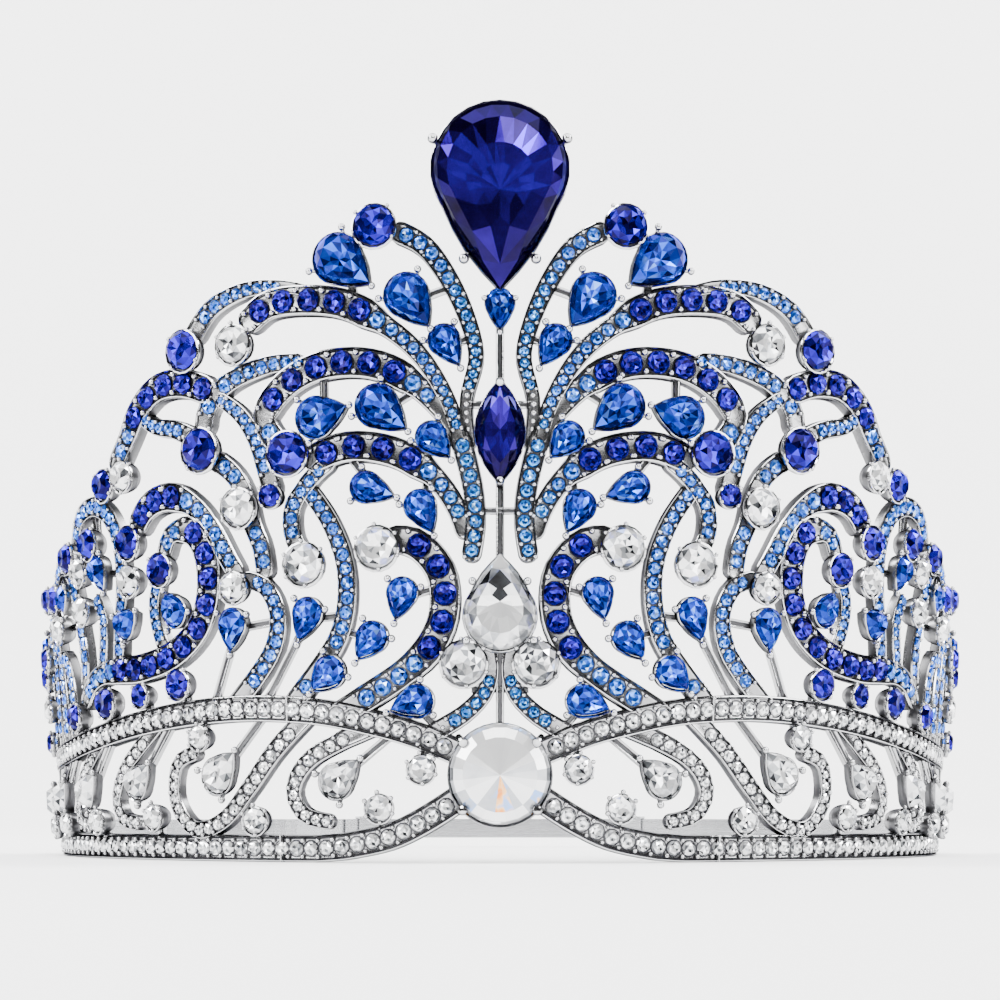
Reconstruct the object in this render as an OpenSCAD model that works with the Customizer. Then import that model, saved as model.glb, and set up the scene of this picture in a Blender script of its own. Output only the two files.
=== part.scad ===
// Pageant crown: a cast lattice of scrolled strips set with cut stones, standing on a
// two-rail base band, closed at the back by two sprung steel strips that slide to fit.
// Millimetres, +Z up, front towards -Y. The lattice is drawn for the left half and mirrored.
// A place on the wall is [azimuth in degrees from the front, height as a percent of lattice_h].

/* [Wall] */
// Inner radius of the crown at its lower edge
ring_r = 76; // [70:0.5:90]
// Outward lean of the wall, in degrees
flare = 5; // [2:0.5:8]
// Height that the percent shares in the tables are taken of
lattice_h = 100; // [85:1:120]
// Azimuth where the lattice ends, each side
lattice_az = 88; // [86:1:92]
// Length of the plain tail of the lower strip past the lattice
tail_l = 6; // [4:1:14]
// Azimuth of the soldered seam between the front casting and each wing, in the base band
seam_az = 24.4; // [24:0.1:25]
// Azimuth of the same seam above the base band
high_seam_az = 23.2; // [23:0.1:23.4]

/* [Strips] */
// Thickness of the strips set with royal stones and of the base band
strip_t = 2; // [1.6:0.1:2.6]
// How far a lighter piece keeps inside the thickness of a heavier one, each face
inset = 0.25; // [0.2:0.05:0.3]
// Width of a strip set with small light stones
light_w = 3.2; // [2.6:0.1:4]
// Width of a strip set with royal stones
royal_w = 4.4; // [3.8:0.1:5.2]
// Width of the two strips of the base band
band_w = 4; // [3.4:0.1:4.6]
// Width of the thin stems that carry the drops
stem_w = 1; // [0.7:0.1:1.6]

/* [Stones] */
// Royal stones that line the strips, across
line_d = 3.5; // [2.8:0.1:3.7]
// Spacing of the royal stones along a strip
line_pitch = 4.1; // [3.9:0.1:5]
// Height of a cut stone as a share of its width, in percent
cut_h = 34; // [25:1:50]
// Width of the table as a share of the stone, in percent
table_w = 56; // [45:1:65]
// Height of the cup collets above the wall's inner face
collet_h = 2.9; // [2.6:0.1:4.6]
// Height of the seats of the drops above the wall's inner face
seat_h = 2.4; // [2:0.1:3.4]
// Width that a seat keeps back from its stone, each side
seat_in = 0.3; // [0.2:0.1:0.6]
// Height of the plate behind the top stone
crest_t = 2.4; // [2:0.1:3.4]

/* [Centre stones] */
// Top drop, across
top_w = 20; // [16:0.5:22]
// Top drop, from its point to its round end
top_l = 28; // [24:0.5:32]
// Long pointed oval below it, across
oval_w = 7; // [6:0.5:8]
// Long pointed oval, from point to point
oval_l = 15; // [13:0.5:17]
// Clear drop above the pair of rounds, across
drop_w = 10.4; // [9:0.2:12]
// Clear drop above the pair of rounds, from its point to its round end
drop_l = 14; // [12:0.5:16]
// Pair of clear rounds, across
pair_d = 6.6; // [5.6:0.2:7.2]
// Large round stone in the base band, across
badge_d = 14.6; // [13:0.2:16]

/* [Rear band] */
// Height of the steel strips
steel_h = 4; // [3:0.2:5]
// Thickness of the steel strips
steel_t = 0.5; // [0.4:0.1:0.8]
// Height of the steel strips above the surface that the crown stands on
steel_z = 2; // [1:0.2:3]
// How far each strip runs past the middle of the back, in degrees
steel_lap = 30; // [15:1:45]
// Width of the folded sleeves around both strips
sleeve_w = 3; // [2:0.2:5]
// Thickness of the sleeves' metal
sleeve_t = 0.4; // [0.3:0.1:0.7]
// Inner radius of the bend that the steel strips make round the back
steel_r = 66; // [60:0.5:70]
// How far the middle of that bend lies behind the middle of the crown
steel_back = 6; // [2:0.5:10]
// Azimuth where each steel strip comes to lie along its casting
foot_az = 73; // [70:1:78]
// Length of the foot that lies along the casting
foot_l = 12; // [9:0.5:16]
// Width of the folded clips that hold the feet
clip_w = 4; // [3:0.5:6]

/* [Clearances] */
// Gap between a stone and its seat
seat_gap = 0.1; // [0.05:0.05:0.2]
// Gap between the castings at the seams
seam_gap = 0.1; // [0.05:0.05:0.3]
// Gap around the steel strips
slide_gap = 0.15; // [0.1:0.05:0.3]

/* [Hidden] */
silver = "silver";
steel = "lightsteelblue";
royal = "mediumblue";
blue = "cornflowerblue";
clear = "white";

// Corners of a small round stone's table and of its edge, sides of the collets of single stones
// and of the posts of the others
round_sides = 6;
collet_sides = 6;
post_sides = 4;
// Sides of the large round stones
badge_sides = 12;
// Corners of a drop's outline and of the seat under it
drop_corners = 8;
seat_corners = 7;
// Steps between two route points of a strip, and the most that a strip turns, in degrees, or runs
// between two of its sections
steps = 5;
turn_step = 30;
run_step = 12;
// Azimuth step of the base band
band_step = 6;

// Strips of the left half. Columns: kind, width at the start and end as a percent of the
// kind's width, first and last royal stone as percent shares of the strip's length
// (no royal stones where the last is 0), route.
kind = 0; start_w = 1; last_w = 2; first_at = 3; last_at = 4; route = 5;
L = "light";
R = "royal";
strips = [
    // Crest arc beside the top drop, running down to the long oval
    [L, 90, 45, 0, 0, [[10.8, 93], [7.5, 90.2], [5, 85], [3.2, 79], [2.4, 73.5], [3.4, 67], [3, 60]]],
    // Upper arc with five royals, and the arc outside it
    [R, 80, 40, 8, 44, [[27.5, 80], [24.5, 83], [20.2, 83.3], [15.5, 82], [11, 78], [7.8, 73.5],
        [5.2, 67], [4, 61]]],
    [L, 40, 100, 0, 0, [[18.8, 84], [22.5, 85.6], [27, 85.8], [31, 84], [33.4, 81], [34.3, 79]]],
    // Main arc with six royals, running down beside the oval to the clear drop
    [R, 75, 55, 14, 47.5, [[23.3, 61.4], [25.2, 66], [22.8, 70.5], [18.5, 73.2], [13, 73], [8.6, 69.6],
        [4.7, 63.4], [3, 56], [2.5, 49.5], [3.1, 43.5]]],
    // Arc behind it, from its crown to the outer royal
    [L, 70, 100, 0, 0, [[20.5, 74], [24.5, 74], [29.5, 72], [32.4, 68.4], [33, 64.5]]],
    // Outer arc with five royals, and the short strip across it
    [R, 75, 80, 7.5, 66, [[31.6, 70.8], [35.5, 72.9], [39.6, 72.9], [43, 70], [45.3, 65.8], [48.2, 61.3]]],
    [L, 60, 90, 0, 0, [[43, 69.5], [40.3, 67], [37, 65.9], [34, 63.8]]],
    // Slanting strips between the two outer royals
    [L, 60, 90, 0, 0, [[31, 70], [28.2, 67], [26.3, 63], [25.2, 58.5], [24.3, 54]]],
    [L, 90, 80, 0, 0, [[32.2, 61], [29.4, 58.2], [27.8, 54.5], [27, 50], [26, 46.5], [25.6, 42]]],
    // Inner arc with four royals, and the loop at its outer end
    [R, 75, 55, 11.5, 53.5, [[20.6, 58.8], [16, 60.9], [11, 59.9], [7, 56.4], [4.6, 51.8], [3.4, 47]]],
    [L, 70, 80, 0, 0, [[17.4, 59.2], [19.8, 56.6], [22, 52.6], [22.2, 48.4], [21.2, 45.2]]],
    // Long strip from the loop down to the base band
    [L, 70, 90, 0, 0, [[20.6, 55.4], [18, 50], [16.4, 44], [16.2, 38], [17.2, 32.8], [19.4, 28.4],
        [22.4, 23.6]]],
    // Inner chain with five royals
    [R, 75, 80, 15.5, 64, [[12, 47.2], [8.6, 46.2], [6.1, 42], [5.8, 36], [7.4, 31], [10.4, 27.2],
        [14.6, 23.6]]],
    // Strip from the small clear round down to the base band
    [L, 70, 90, 0, 0, [[28.4, 42.2], [25.6, 40.6], [24.2, 36.4], [24.8, 31.6], [27, 27.4], [29.6, 23.8]]],
    // Arch with three royals on the wing
    [R, 80, 60, 10.5, 35, [[44.6, 51], [42, 54.6], [38.6, 55.7], [35.2, 54.2], [32.6, 50.6],
        [30.4, 45.6], [28.9, 42.2]]],
    // Scroll with the long row of royals
    [R, 60, 70, 15.5, 75.5, [[39.8, 46], [38.4, 49.8], [35.2, 50], [33.3, 46], [33.2, 40], [35, 34.8],
        [39, 31.2], [44.6, 29.6], [50, 29.6], [55, 28.4], [58.6, 24.5]]],
    // Strip beside the blue drop inside the scroll
    [L, 60, 70, 0, 0, [[40.6, 43.4], [41.6, 39.5], [41.2, 35.5], [40, 31.5]]],
    // Tall arch of the wing and the strip inside it
    [L, 90, 80, 0, 0, [[59, 50], [57.4, 54.8], [53.4, 56.5], [49.8, 54.4], [47.8, 49.6], [47.5, 43],
        [48.4, 36], [49, 30]]],
    [L, 70, 70, 0, 0, [[53.6, 42], [52, 38], [52.2, 34], [53, 29.5]]],
    // Next arch and its leg, then the pair of legs before the side
    [L, 90, 80, 0, 0, [[68.4, 44.5], [66, 48], [62.6, 47.8], [60.2, 44], [58.6, 38], [57.6, 32.5],
        [58, 27]]],
    [L, 80, 90, 0, 0, [[68.4, 32.5], [65, 32.6], [63, 29], [62.5, 24], [62.7, 18.5]]],
    [L, 80, 90, 0, 0, [[77, 37.5], [73.5, 40], [70, 37.4], [67.6, 31], [66.4, 24], [66.3, 18]]],
    // Last arches of the side, falling to the band
    [L, 80, 90, 0, 0, [[86.5, 28], [84.6, 34.6], [80.8, 37.4], [77.4, 34.6], [75.4, 28], [74.4, 17]]],
    [L, 80, 90, 0, 0, [[71.6, 36], [70.4, 27], [70.4, 17]]],
    [L, 90, 90, 0, 0, [[87, 16], [86.2, 22], [83.2, 25.2], [80, 22.4], [79, 16.5]]],
    // Hook strip under each of the paired clear rounds
    [L, 60, 80, 0, 0, [[1.5, 32], [1, 28], [1.6, 24.6], [3.6, 21.6], [6.4, 19.2]]]
];

// Scrolls inside the base band, in the same columns as the strips
band_scrolls = [
    [L, 80, 60, 0, 0, [[13, 20], [17, 17.8], [21, 14.8], [22.9, 10.6], [21.6, 6.9], [18.2, 5.8]]],
    [L, 80, 60, 0, 0, [[21, 21.5], [25, 16.4], [28.4, 11], [32, 6.2], [36.4, 4.7], [39.4, 9],
        [38.8, 14.6], [35.6, 16.4]]]
];
// Azimuths by which the first scroll is repeated towards the ends
scroll_turns = [28, 40, 51, 60];

// Middle of the upper strip of the base band
band_top = [[3.6, 15.4], [9, 18.5], [14, 20.4], [20, 22], [28, 22.7], [36, 22.3], [46, 20.9],
    [58, 18.7], [70, 16.9], [88, 15.7]];
// Middle of the lower strip where it rises to the large round stone
band_rise = [[3.6, 10], [8, 6.2], [12, 3.7], [17, 2.3]];

// Round stones of the left half. Columns: azimuth, height share, width, name, place that a short
// stem runs to where the collet doesn't touch a strip. Single stones come first, the rest are set
// as fields.
at = 0; up = 1; wide = 2; hue = 3; foot = 4;
single_rounds = [
    [12.4, 93.4, 6.4, "royal"], [34.8, 77.8, 6.4, "royal", [35.2, 72.6]], [28.2, 77.6, 6, "clear"],
    [33, 62.2, 6.8, "royal"], [22.2, 60.4, 6.6, "royal"], [28.2, 52.8, 6, "clear"],
    [20.6, 43.8, 6.4, "clear"], [12.6, 45.8, 6.4, "clear"]
];
field_rounds = [
    [24.3, 54.2, 3.6, "royal"], [44.8, 49.4, 5.4, "royal"], [39.6, 44.6, 5.2, "royal"],
    [49.2, 59.2, 5.2, "royal", [47.8, 62]], [53.3, 50.4, 5.2, "royal", [53.4, 56.4]],
    [59.6, 49, 5, "royal"], [65.6, 43, 5, "royal", [65.8, 48]], [37.4, 26.8, 4.8, "royal", [37, 22.2]],
    [43.8, 25.4, 3.8, "royal", [43.8, 21.2]], [50.8, 24.6, 5, "royal", [50.8, 20.2]],
    [70, 43.4, 4.4, "royal", [67.6, 46]], [74.4, 33.6, 4.6, "royal", [77.4, 34]],
    [80.4, 31, 4.6, "royal", [80.8, 37.2]], [82.8, 19.6, 4.2, "royal", [82.8, 16]],
    [59.5, 22.9, 4.4, "royal", [59.5, 18.4]],
    [29.2, 40.9, 4.8, "clear"], [45, 43.4, 5, "clear", [47.8, 43.4]], [45.4, 60, 5, "clear", [47.4, 62.6]],
    [56.2, 46.2, 4.8, "clear", [60.4, 44.8]], [55.9, 39.8, 4.8, "clear", [59, 40.2]],
    [64.4, 37.8, 4.8, "clear", [58.6, 38]], [75, 25, 4, "clear"], [83.2, 26, 4.4, "clear"]
];
band_rounds = [
    [8.2, 13.6, 4.2, "clear", [8.2, 18]], [12.8, 8, 4.2, "clear", [12.8, 3.6]],
    [27.3, 6.2, 4.2, "clear", [27.3, 2]], [34.6, 18.6, 3.8, "clear", [34.6, 22.2]]
];
// Round stone that is repeated with each turn of the first scroll
turned_round = [14.4, 6.4, 4, "clear", [14.6, 1.7]];

// Drops of the left half. Columns: azimuth, height share, width, name, length, direction of the
// point in degrees anticlockwise from the right as seen from the front, place that the stem runs to.
long = 4; tip = 5; stem_to = 6;
single_drops = [
    [15.6, 88.2, 7.4, "blue", 10, -40, [[14.6, 81.4]]],
    [8.8, 82, 6.4, "blue", 8.8, -55, [[5, 84]]],
    [5.2, 75.3, 4.4, "blue", 6.4, -60, [[3, 76.5]]],
    [18.3, 65.8, 6, "blue", 8, 15, [[18.4, 72.8]]],
    [11.8, 66, 6.2, "blue", 8.6, -40, [[8.4, 69]]]
];
field_drops = [
    [6.5, 61.3, 4.4, "blue", 6, -50, [[8, 57.5]]],
    [13, 54.5, 4.4, "blue", 6.6, -20, [[15.4, 59]]],
    [7.8, 51, 4.4, "blue", 6.4, -65, [[7.4, 56.5]]],
    [10.2, 38.4, 4.2, "blue", 6, -105, [[6, 40]]],
    [13.6, 32.2, 4.4, "blue", 6, -125, [[17, 34]]],
    [18.4, 27.4, 4.6, "blue", 6, -135, [[20, 26]]],
    [9.2, 23.2, 4.6, "blue", 6.4, -160, [[6.6, 19.4]]],
    [20.6, 35.7, 4.4, "blue", 6.4, -110, [[26, 24], [17, 36]]],
    [29.6, 34.7, 4.6, "blue", 6.2, -95, [[33, 24], [25, 35.5]]],
    [37.8, 38.4, 4.6, "blue", 5.6, 120, [[41, 39]]],
    [46, 37, 4.6, "blue", 5.6, 30, [[49, 37.6]]],
    [51.4, 45.4, 4.4, "blue", 6, -60, [[48, 45]]],
    [62.4, 42.6, 3.6, "blue", 5, -90, [[59.8, 42.6]]],
    [83.8, 36.4, 4.2, "blue", 5.6, -60, [[80.6, 34]]]
];
band_drops = [
    [17, 12.6, 5, "clear", 7, 40, [[11.5, 18.6]]],
    [31.8, 13.6, 5.4, "clear", 7.4, 45, [[26.5, 21.6]]]
];
turned_drop = [17, 12.6, 5, "clear", 6.8, 40, [[11.8, 18.8]]];

// Small blue drop under the top one, and how far it reaches up under the top one's point
small_w = 4;
small_l = 5.8;
small_tuck = 0.1;
// Heights of the pieces on the centre line, as percent shares of lattice_h
top_up = 97.4;
small_up = top_up - 100 * ((top_l + small_l) / 2 - small_tuck) / lattice_h;
oval_up = 62.6;
drop_up = 37.6;
pair_up = 28.8;
badge_up = 12.8;
// Azimuth of the paired rounds
pair_az = 3.7;
// The bar across the oval's stem: half its azimuth, and its height over the oval's middle
cross_az = 3.4;
cross_up = 4;
// Heights of the deep stones as a share of the usual cut, and the oval's narrow table
top_share = 0.5;
badge_share = 0.625;
oval_table = 0.5;

tan_flare = tan(flare);

function stone_name(side, form, i) = str(side, "_", form, "_", i + 1);

// The wall rolled out flat: [mm along the wall, mm up], and back to a point in space
function wall_r(z) = ring_r + z * tan_flare;
function flat(p) = let (z = lattice_h * p[1] / 100) [p[0] * PI / 180 * wall_r(z), z];
function round_wall(q, out) = let (r = wall_r(q[1]), a = q[0] / r * 180 / PI)
    [-(r + out) * sin(a), -(r + out) * cos(a) + centre_y, q[1]];

// How far the box's middle lies from the ring's centre, so that the origin is under the middle
top_z = lattice_h * top_up / 100;
top_cut = top_share * top_w * cut_h / 100;
top_out = crest_t + seat_gap + top_cut * cos(flare) + top_l / 2 * table_w / 100 * sin(flare);
front_y = wall_r(top_z) + top_out;
outer_steel_r = steel_r + slide_gap + 2 * steel_t;
back_y = steel_back + outer_steel_r;
centre_y = (front_y - back_y) / 2;

// A smooth curve through a strip's route points
function bend(a, b, c, d, t) = 0.5 * (2 * b + (c - a) * t + (2 * a - 5 * b + 4 * c - d) * t * t
    + (3 * b - a - 3 * c + d) * t * t * t);
function curve(p, n) = let (last = len(p) - 1) [
    for (i = [0:last - 1]) for (k = [0:n - 1])
        bend(p[max(i - 1, 0)], p[i], p[i + 1], p[min(i + 2, last)], k / n),
    p[last]
];
function turned_by(p, i, k) = acos(min(1, direction(p, i) * direction(p, k)));
function thinned(p, from = 0, i = 1) = i >= len(p) - 1 ? [p[from], p[len(p) - 1]]
    : turned_by(p, from, i) > turn_step || norm(p[i] - p[from]) > run_step
        ? concat([p[from]], thinned(p, i, i + 1)) : thinned(p, from, i + 1);
function laid(route) = thinned(curve([for (q = route) flat(q)], steps));
function direction(p, i) = let (d = p[min(i + 1, len(p) - 1)] - p[max(i - 1, 0)]) d / norm(d);
function left_of(d) = [-d[1], d[0]];
function lengths(p, i = 0, sum = 0) = i == len(p) - 1 ? [sum]
    : concat([sum], lengths(p, i + 1, sum + norm(p[i + 1] - p[i])));
function at_length(p, s, sum, i = 0) = i == len(p) - 2 || sum[i + 1] >= s
    ? let (t = (s - sum[i]) / (sum[i + 1] - sum[i])) p[i] + (p[i + 1] - p[i]) * t
    : at_length(p, s, sum, i + 1);
function full_w(row) = row[kind] == R ? royal_w : light_w;

// Places of the royal stones along a strip: [mm along, mm up]
function line_places(row) = let (
    p = curve([for (q = row[route]) flat(q)], 6),
    sum = lengths(p),
    whole = sum[len(sum) - 1],
    from = whole * row[first_at] / 100,
    to = whole * row[last_at] / 100,
    n = floor((to - from) / line_pitch + 0.5)
) [for (k = [0:n]) at_length(p, from + (to - from) * k / n, sum)];

// A closed tube through sections with the same number of corners
module tube(rings) {
    n = len(rings[0]);
    last = len(rings) - 1;
    polyhedron(
        points = [for (ring = rings) for (p = ring) p],
        faces = concat(
            [[for (k = [n - 1:-1:0]) k]],
            [for (i = [0:last - 1]) for (k = [0:n - 1]) let (m = (k + 1) % n)
                [i * n + m, (i + 1) * n + m, (i + 1) * n + k, i * n + k]],
            [[for (k = [0:n - 1]) last * n + k]]
        ),
        convexity = 6
    );
}

// One strip of the lattice, tapering between its two end widths
module strip(row) {
    p = laid(row[route]);
    last = len(p) - 1;
    back = row[kind] == R ? 0 : inset;
    face = strip_t - back;
    tube([for (i = [0:last]) let (
        share = (row[start_w] + (row[last_w] - row[start_w]) * i / last) / 100,
        side = left_of(direction(p, i)) * full_w(row) / 2 * share
    ) [round_wall(p[i] - side, back), round_wall(p[i] + side, back), round_wall(p[i] + side, face),
        round_wall(p[i] - side, face)]]);
}

// A strip of the base band, along a list of flat points
module band_strip(p) {
    tube([for (i = [0:len(p) - 1]) let (side = left_of(direction(p, i)) * band_w / 2)
        [round_wall(p[i] - side, 0), round_wall(p[i] + side, 0), round_wall(p[i] + side, strip_t),
            round_wall(p[i] - side, strip_t)]]);
}

// Heights of the base band at an azimuth, for what stands inside it
function band_at(a, i = 0) = i == len(band_top) - 2 || band_top[i + 1][0] >= a
    ? let (t = (a - band_top[i][0]) / (band_top[i + 1][0] - band_top[i][0]))
        band_top[i][1] + (band_top[i + 1][1] - band_top[i][1]) * t
    : band_at(a, i + 1);
function turned(p, turn) = let (a = p[0] + turn) [a, p[1] * band_at(a) / band_at(p[0])];
function turned_stone(row, turn) = let (p = turned([row[at], row[up]], turn))
    [for (c = [0:len(row) - 1]) c == at ? p[0] : c == up ? p[1]
        : c == stem_to ? [for (q = row[c]) turned(q, turn)]
        : is_list(row[c]) ? turned(row[c], turn) : row[c]];
lower_z = band_w / 2;
lower_end = lattice_az * PI / 180 * wall_r(lower_z) + tail_l;
lower_line = concat(
    laid(band_rise),
    [for (a = [22:band_step:lattice_az]) [a * PI / 180 * wall_r(lower_z), lower_z]],
    [[lower_end, lower_z]]
);
all_band_rounds = concat(band_rounds, [for (t = scroll_turns) turned_stone(turned_round, t)]);
all_band_drops = concat(band_drops, [for (t = scroll_turns) turned_stone(turned_drop, t)]);

// Puts children on the wall with their own Z square to it, outwards, and X to the viewer's right
module on_wall(p, out = 0) {
    q = round_wall(flat(p), out);
    translate(q) rotate([90 + flare, 0, -p[0]]) children();
}
// A drop with its point towards +X: a round end, and two sides that swell a little
function drop_outline(w, l, n) = let (
    r = w / 2,
    far = l - r,
    reach = acos(r / far),
    swell = [far * 0.52 + r * cos(reach) * 0.48, r * sin(reach) * 0.56],
    half = [for (k = [0:n - 4]) let (a = reach + (360 - 2 * reach) * k / (n - 4)) [r * cos(a), r * sin(a)]],
    shift = [(l - w) / 2, 0]
) [for (p = concat([[far, 0], swell], half, [[swell[0], -swell[1]]])) p - shift];
function round_outline(d, n) = [for (k = [0:n - 1]) let (a = 360 * (k + 0.5) / n)
    d / 2 * [cos(a), sin(a)]];
// An oval with ten corners and a point at each end, along X
function oval_outline(w, l) = [for (k = [0:9]) let (a = 36 * k)
    [l / 2 * (1 - pow(abs(sin(a)), 1.6)) * sign(cos(a)), w / 2 * sin(a) / sin(72)]];

// A cut stone with a flat back, a knife edge all round and a flat table
module cut_stone(outline, h, table = table_w / 100) {
    n = len(outline);
    polyhedron(
        points = concat([for (p = outline) [p[0], p[1], 0]],
            [for (p = outline) [p[0] * table, p[1] * table, h]]),
        faces = concat(
            [[for (k = [0:n - 1]) k]],
            [for (k = [0:n - 1]) let (m = (k + 1) % n) [k, n + k, n + m, m]],
            [[for (k = [n - 1:-1:0]) n + k]]
        )
    );
}
// A deep stone with two rows of facets around its table
module deep_stone(outline, h) {
    n = len(outline);
    rows = [[1, 0], [0.9, 0.4], [table_w / 100, 1]];
    polyhedron(
        points = [for (r = rows) for (p = outline) [p[0] * r[0], p[1] * r[0], h * r[1]]],
        faces = concat(
            [[for (k = [0:n - 1]) k]],
            [for (j = [0:1]) for (k = [0:n - 1]) let (m = (k + 1) % n)
                [j * n + k, (j + 1) * n + k, (j + 1) * n + m, j * n + m]],
            [[for (k = [n - 1:-1:0]) 2 * n + k]]
        )
    );
}

// A small round stone: its table is turned by half a corner, which gives two facets to a corner
module round_cut(d) {
    n = round_sides;
    h = d * cut_h / 100;
    function ring(r, turn, z) = [for (k = [0:n - 1]) let (a = 360 * (k + turn) / n)
        [r * cos(a), r * sin(a), z]];
    polyhedron(
        points = concat(ring(d / 2, 0, 0), ring(d * table_w / 200, 0.5, h)),
        faces = concat(
            [[for (k = [0:n - 1]) k]],
            [for (k = [0:n - 1]) [k, n + k, (k + 1) % n]],
            [for (k = [0:n - 1]) [n + k, n + (k + 1) % n, (k + 1) % n]],
            [[for (k = [n - 1:-1:0]) n + k]]
        )
    );
}
module round_stone(row) {
    on_wall([row[at], row[up]], collet_h + seat_gap) round_cut(row[wide]);
}
module drop_stone(row) {
    on_wall([row[at], row[up]], seat_h + seat_gap) rotate([0, 0, row[tip]])
        cut_stone(drop_outline(row[wide], row[long], drop_corners), row[wide] * cut_h / 100);
}
module hued(colour) {
    color(colour == "royal" ? royal : colour == "blue" ? blue : clear) children();
}

// The cup under a round stone, and the seat under a drop with its stems
module collet(row, sides = post_sides) {
    on_wall([row[at], row[up]], strip_t / 2)
        linear_extrude(collet_h - strip_t / 2) polygon(round_outline(row[wide] - 2 * seat_in, sides));
    if (len(row) > foot) stem(row[foot], [row[at], row[up]]);
}
// A stem with a ridge, which may rise towards its far end
module stem(p, q, end_top = strip_t - 2 * inset) {
    a = flat(p);
    b = flat(q);
    side = left_of((b - a) / norm(b - a)) * stem_w / 2;
    tube([for (e = [[a, strip_t - 2 * inset], [b, end_top]])
        [round_wall(e[0] - side, 2 * inset), round_wall(e[0] + side, 2 * inset), round_wall(e[0], e[1])]]);
}
module stems(row) {
    for (q = row[stem_to]) stem(q, [row[at], row[up]], seat_h);
}
module seat(row) {
    on_wall([row[at], row[up]], strip_t / 2) rotate([0, 0, row[tip]])
        linear_extrude(seat_h - strip_t / 2)
            polygon(drop_outline(row[wide] - 2 * seat_in, row[long] - 2 * seat_in, seat_corners));
    stems(row);
}

// Whether a piece through some places reaches into the space between two azimuths
function spans(places, low, high) =
    max([for (p = places) p[0]]) > low && min([for (p = places) p[0]]) < high;
function around(row, more) = concat([[row[at] - stone_deg], [row[at] + stone_deg]], more);
stone_deg = 2.5;
turned_scrolls = [for (t = scroll_turns) [for (c = [0:route])
    c == route ? [for (p = band_scrolls[0][c]) turned(p, t)] : band_scrolls[0][c]]];

// The metal of the left half between two azimuths: strips, base band, collets, seats and stems
module half_lattice(low, high) {
    for (row = concat(strips, band_scrolls, turned_scrolls)) if (spans(row[route], low, high)) strip(row);
    band_strip(laid(band_top));
    band_strip(lower_line);
    for (row = single_rounds) if (spans(around(row, []), low, high)) collet(row, collet_sides);
    for (row = concat(field_rounds, all_band_rounds)) if (spans(around(row, []), low, high)) collet(row);
    for (row = single_drops) if (spans(around(row, row[stem_to]), low, high)) seat(row);
    for (row = concat(field_drops, all_band_drops))
        if (spans(around(row, row[stem_to]), low, high)) stems(row);
}
// Short bars of the casting that tie its strips where they only pass each other
module ties() {
    stem([-1, 51], [4, 51]);
    stem([-1, 25], [3, 25]);
}
module seam_ties() {
    stem([25, 65.4], [27.6, 65]);
    stem([25.4, 82], [25.8, 85.6]);
}
// The plain upright that closes the band, a little inside the end of its upper strip
end_in = 1.6;
module end_bar() {
    w = band_w / 4;
    tube([for (z = [lower_z, lattice_h * band_top[len(band_top) - 1][1] / 100])
        let (u = (lattice_az - end_in) * PI / 180 * wall_r(z))
        [round_wall([u + w, z], 0), round_wall([u - w, z], 0), round_wall([u - w, z], strip_t),
            round_wall([u + w, z], strip_t)]]);
}
// The metal on the centre line: plates under the stones and the stems between them
module centre_metal() {
    on_wall([0, top_up]) rotate([0, 0, -90]) linear_extrude(crest_t)
        polygon(drop_outline(top_w - 2 * seat_in, top_l - 2 * seat_in, 14));
    on_wall([0, small_up]) rotate([0, 0, -90]) linear_extrude(seat_h)
        polygon(drop_outline(small_w - 2 * seat_in, small_l - 2 * seat_in, seat_corners));
    on_wall([0, oval_up]) rotate([0, 0, 90]) linear_extrude(seat_h)
        polygon(oval_outline(oval_w - 2 * seat_in, oval_l - 2 * seat_in));
    on_wall([0, drop_up]) rotate([0, 0, 90]) linear_extrude(seat_h)
        polygon(drop_outline(drop_w - 2 * seat_in, drop_l - 2 * seat_in, 10));
    for (a = [-pair_az, pair_az]) collet([a, pair_up, pair_d], collet_sides);
    on_wall([0, badge_up]) linear_extrude(seat_h)
        polygon(round_outline(badge_d - 2 * seat_in, badge_sides));
    stem([0, top_up], [0, small_up]);
    stem([0, small_up], [0, oval_up]);
    stem([0, oval_up], [0, drop_up]);
    stem([0, drop_up], [0, badge_up]);
    stem([-cross_az, oval_up + cross_up], [cross_az, oval_up + cross_up]);
}
module front_half() {
    half_lattice(0, seam_az);
    ties();
}
// The space of the front casting, whose seams step inwards above the base band
module wedge(half_deg, low, high) {
    far = 3 * ring_r;
    translate([0, centre_y, low]) linear_extrude(high - low)
        polygon([[0, 0], [-far * sin(half_deg), -far * cos(half_deg)],
            [far * sin(half_deg), -far * cos(half_deg)]]);
}
seam_z = 0.25 * lattice_h;
module front_space(gap) {
    wedge(seam_az + gap, -1, seam_z + gap);
    wedge(high_seam_az + gap, seam_z, 2 * lattice_h);
}
seam_deg = seam_gap / ring_r * 180 / PI;

module front_casting() color(silver) intersection() {
    union() {
        front_half();
        mirror([1, 0, 0]) front_half();
        centre_metal();
    }
    front_space(0);
}
module left_wing() color(silver) difference() {
    union() {
        half_lattice(high_seam_az, lattice_az);
        seam_ties();
        end_bar();
    }
    front_space(seam_deg);
}
module right_wing() color(silver) mirror([1, 0, 0]) left_wing();

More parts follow.
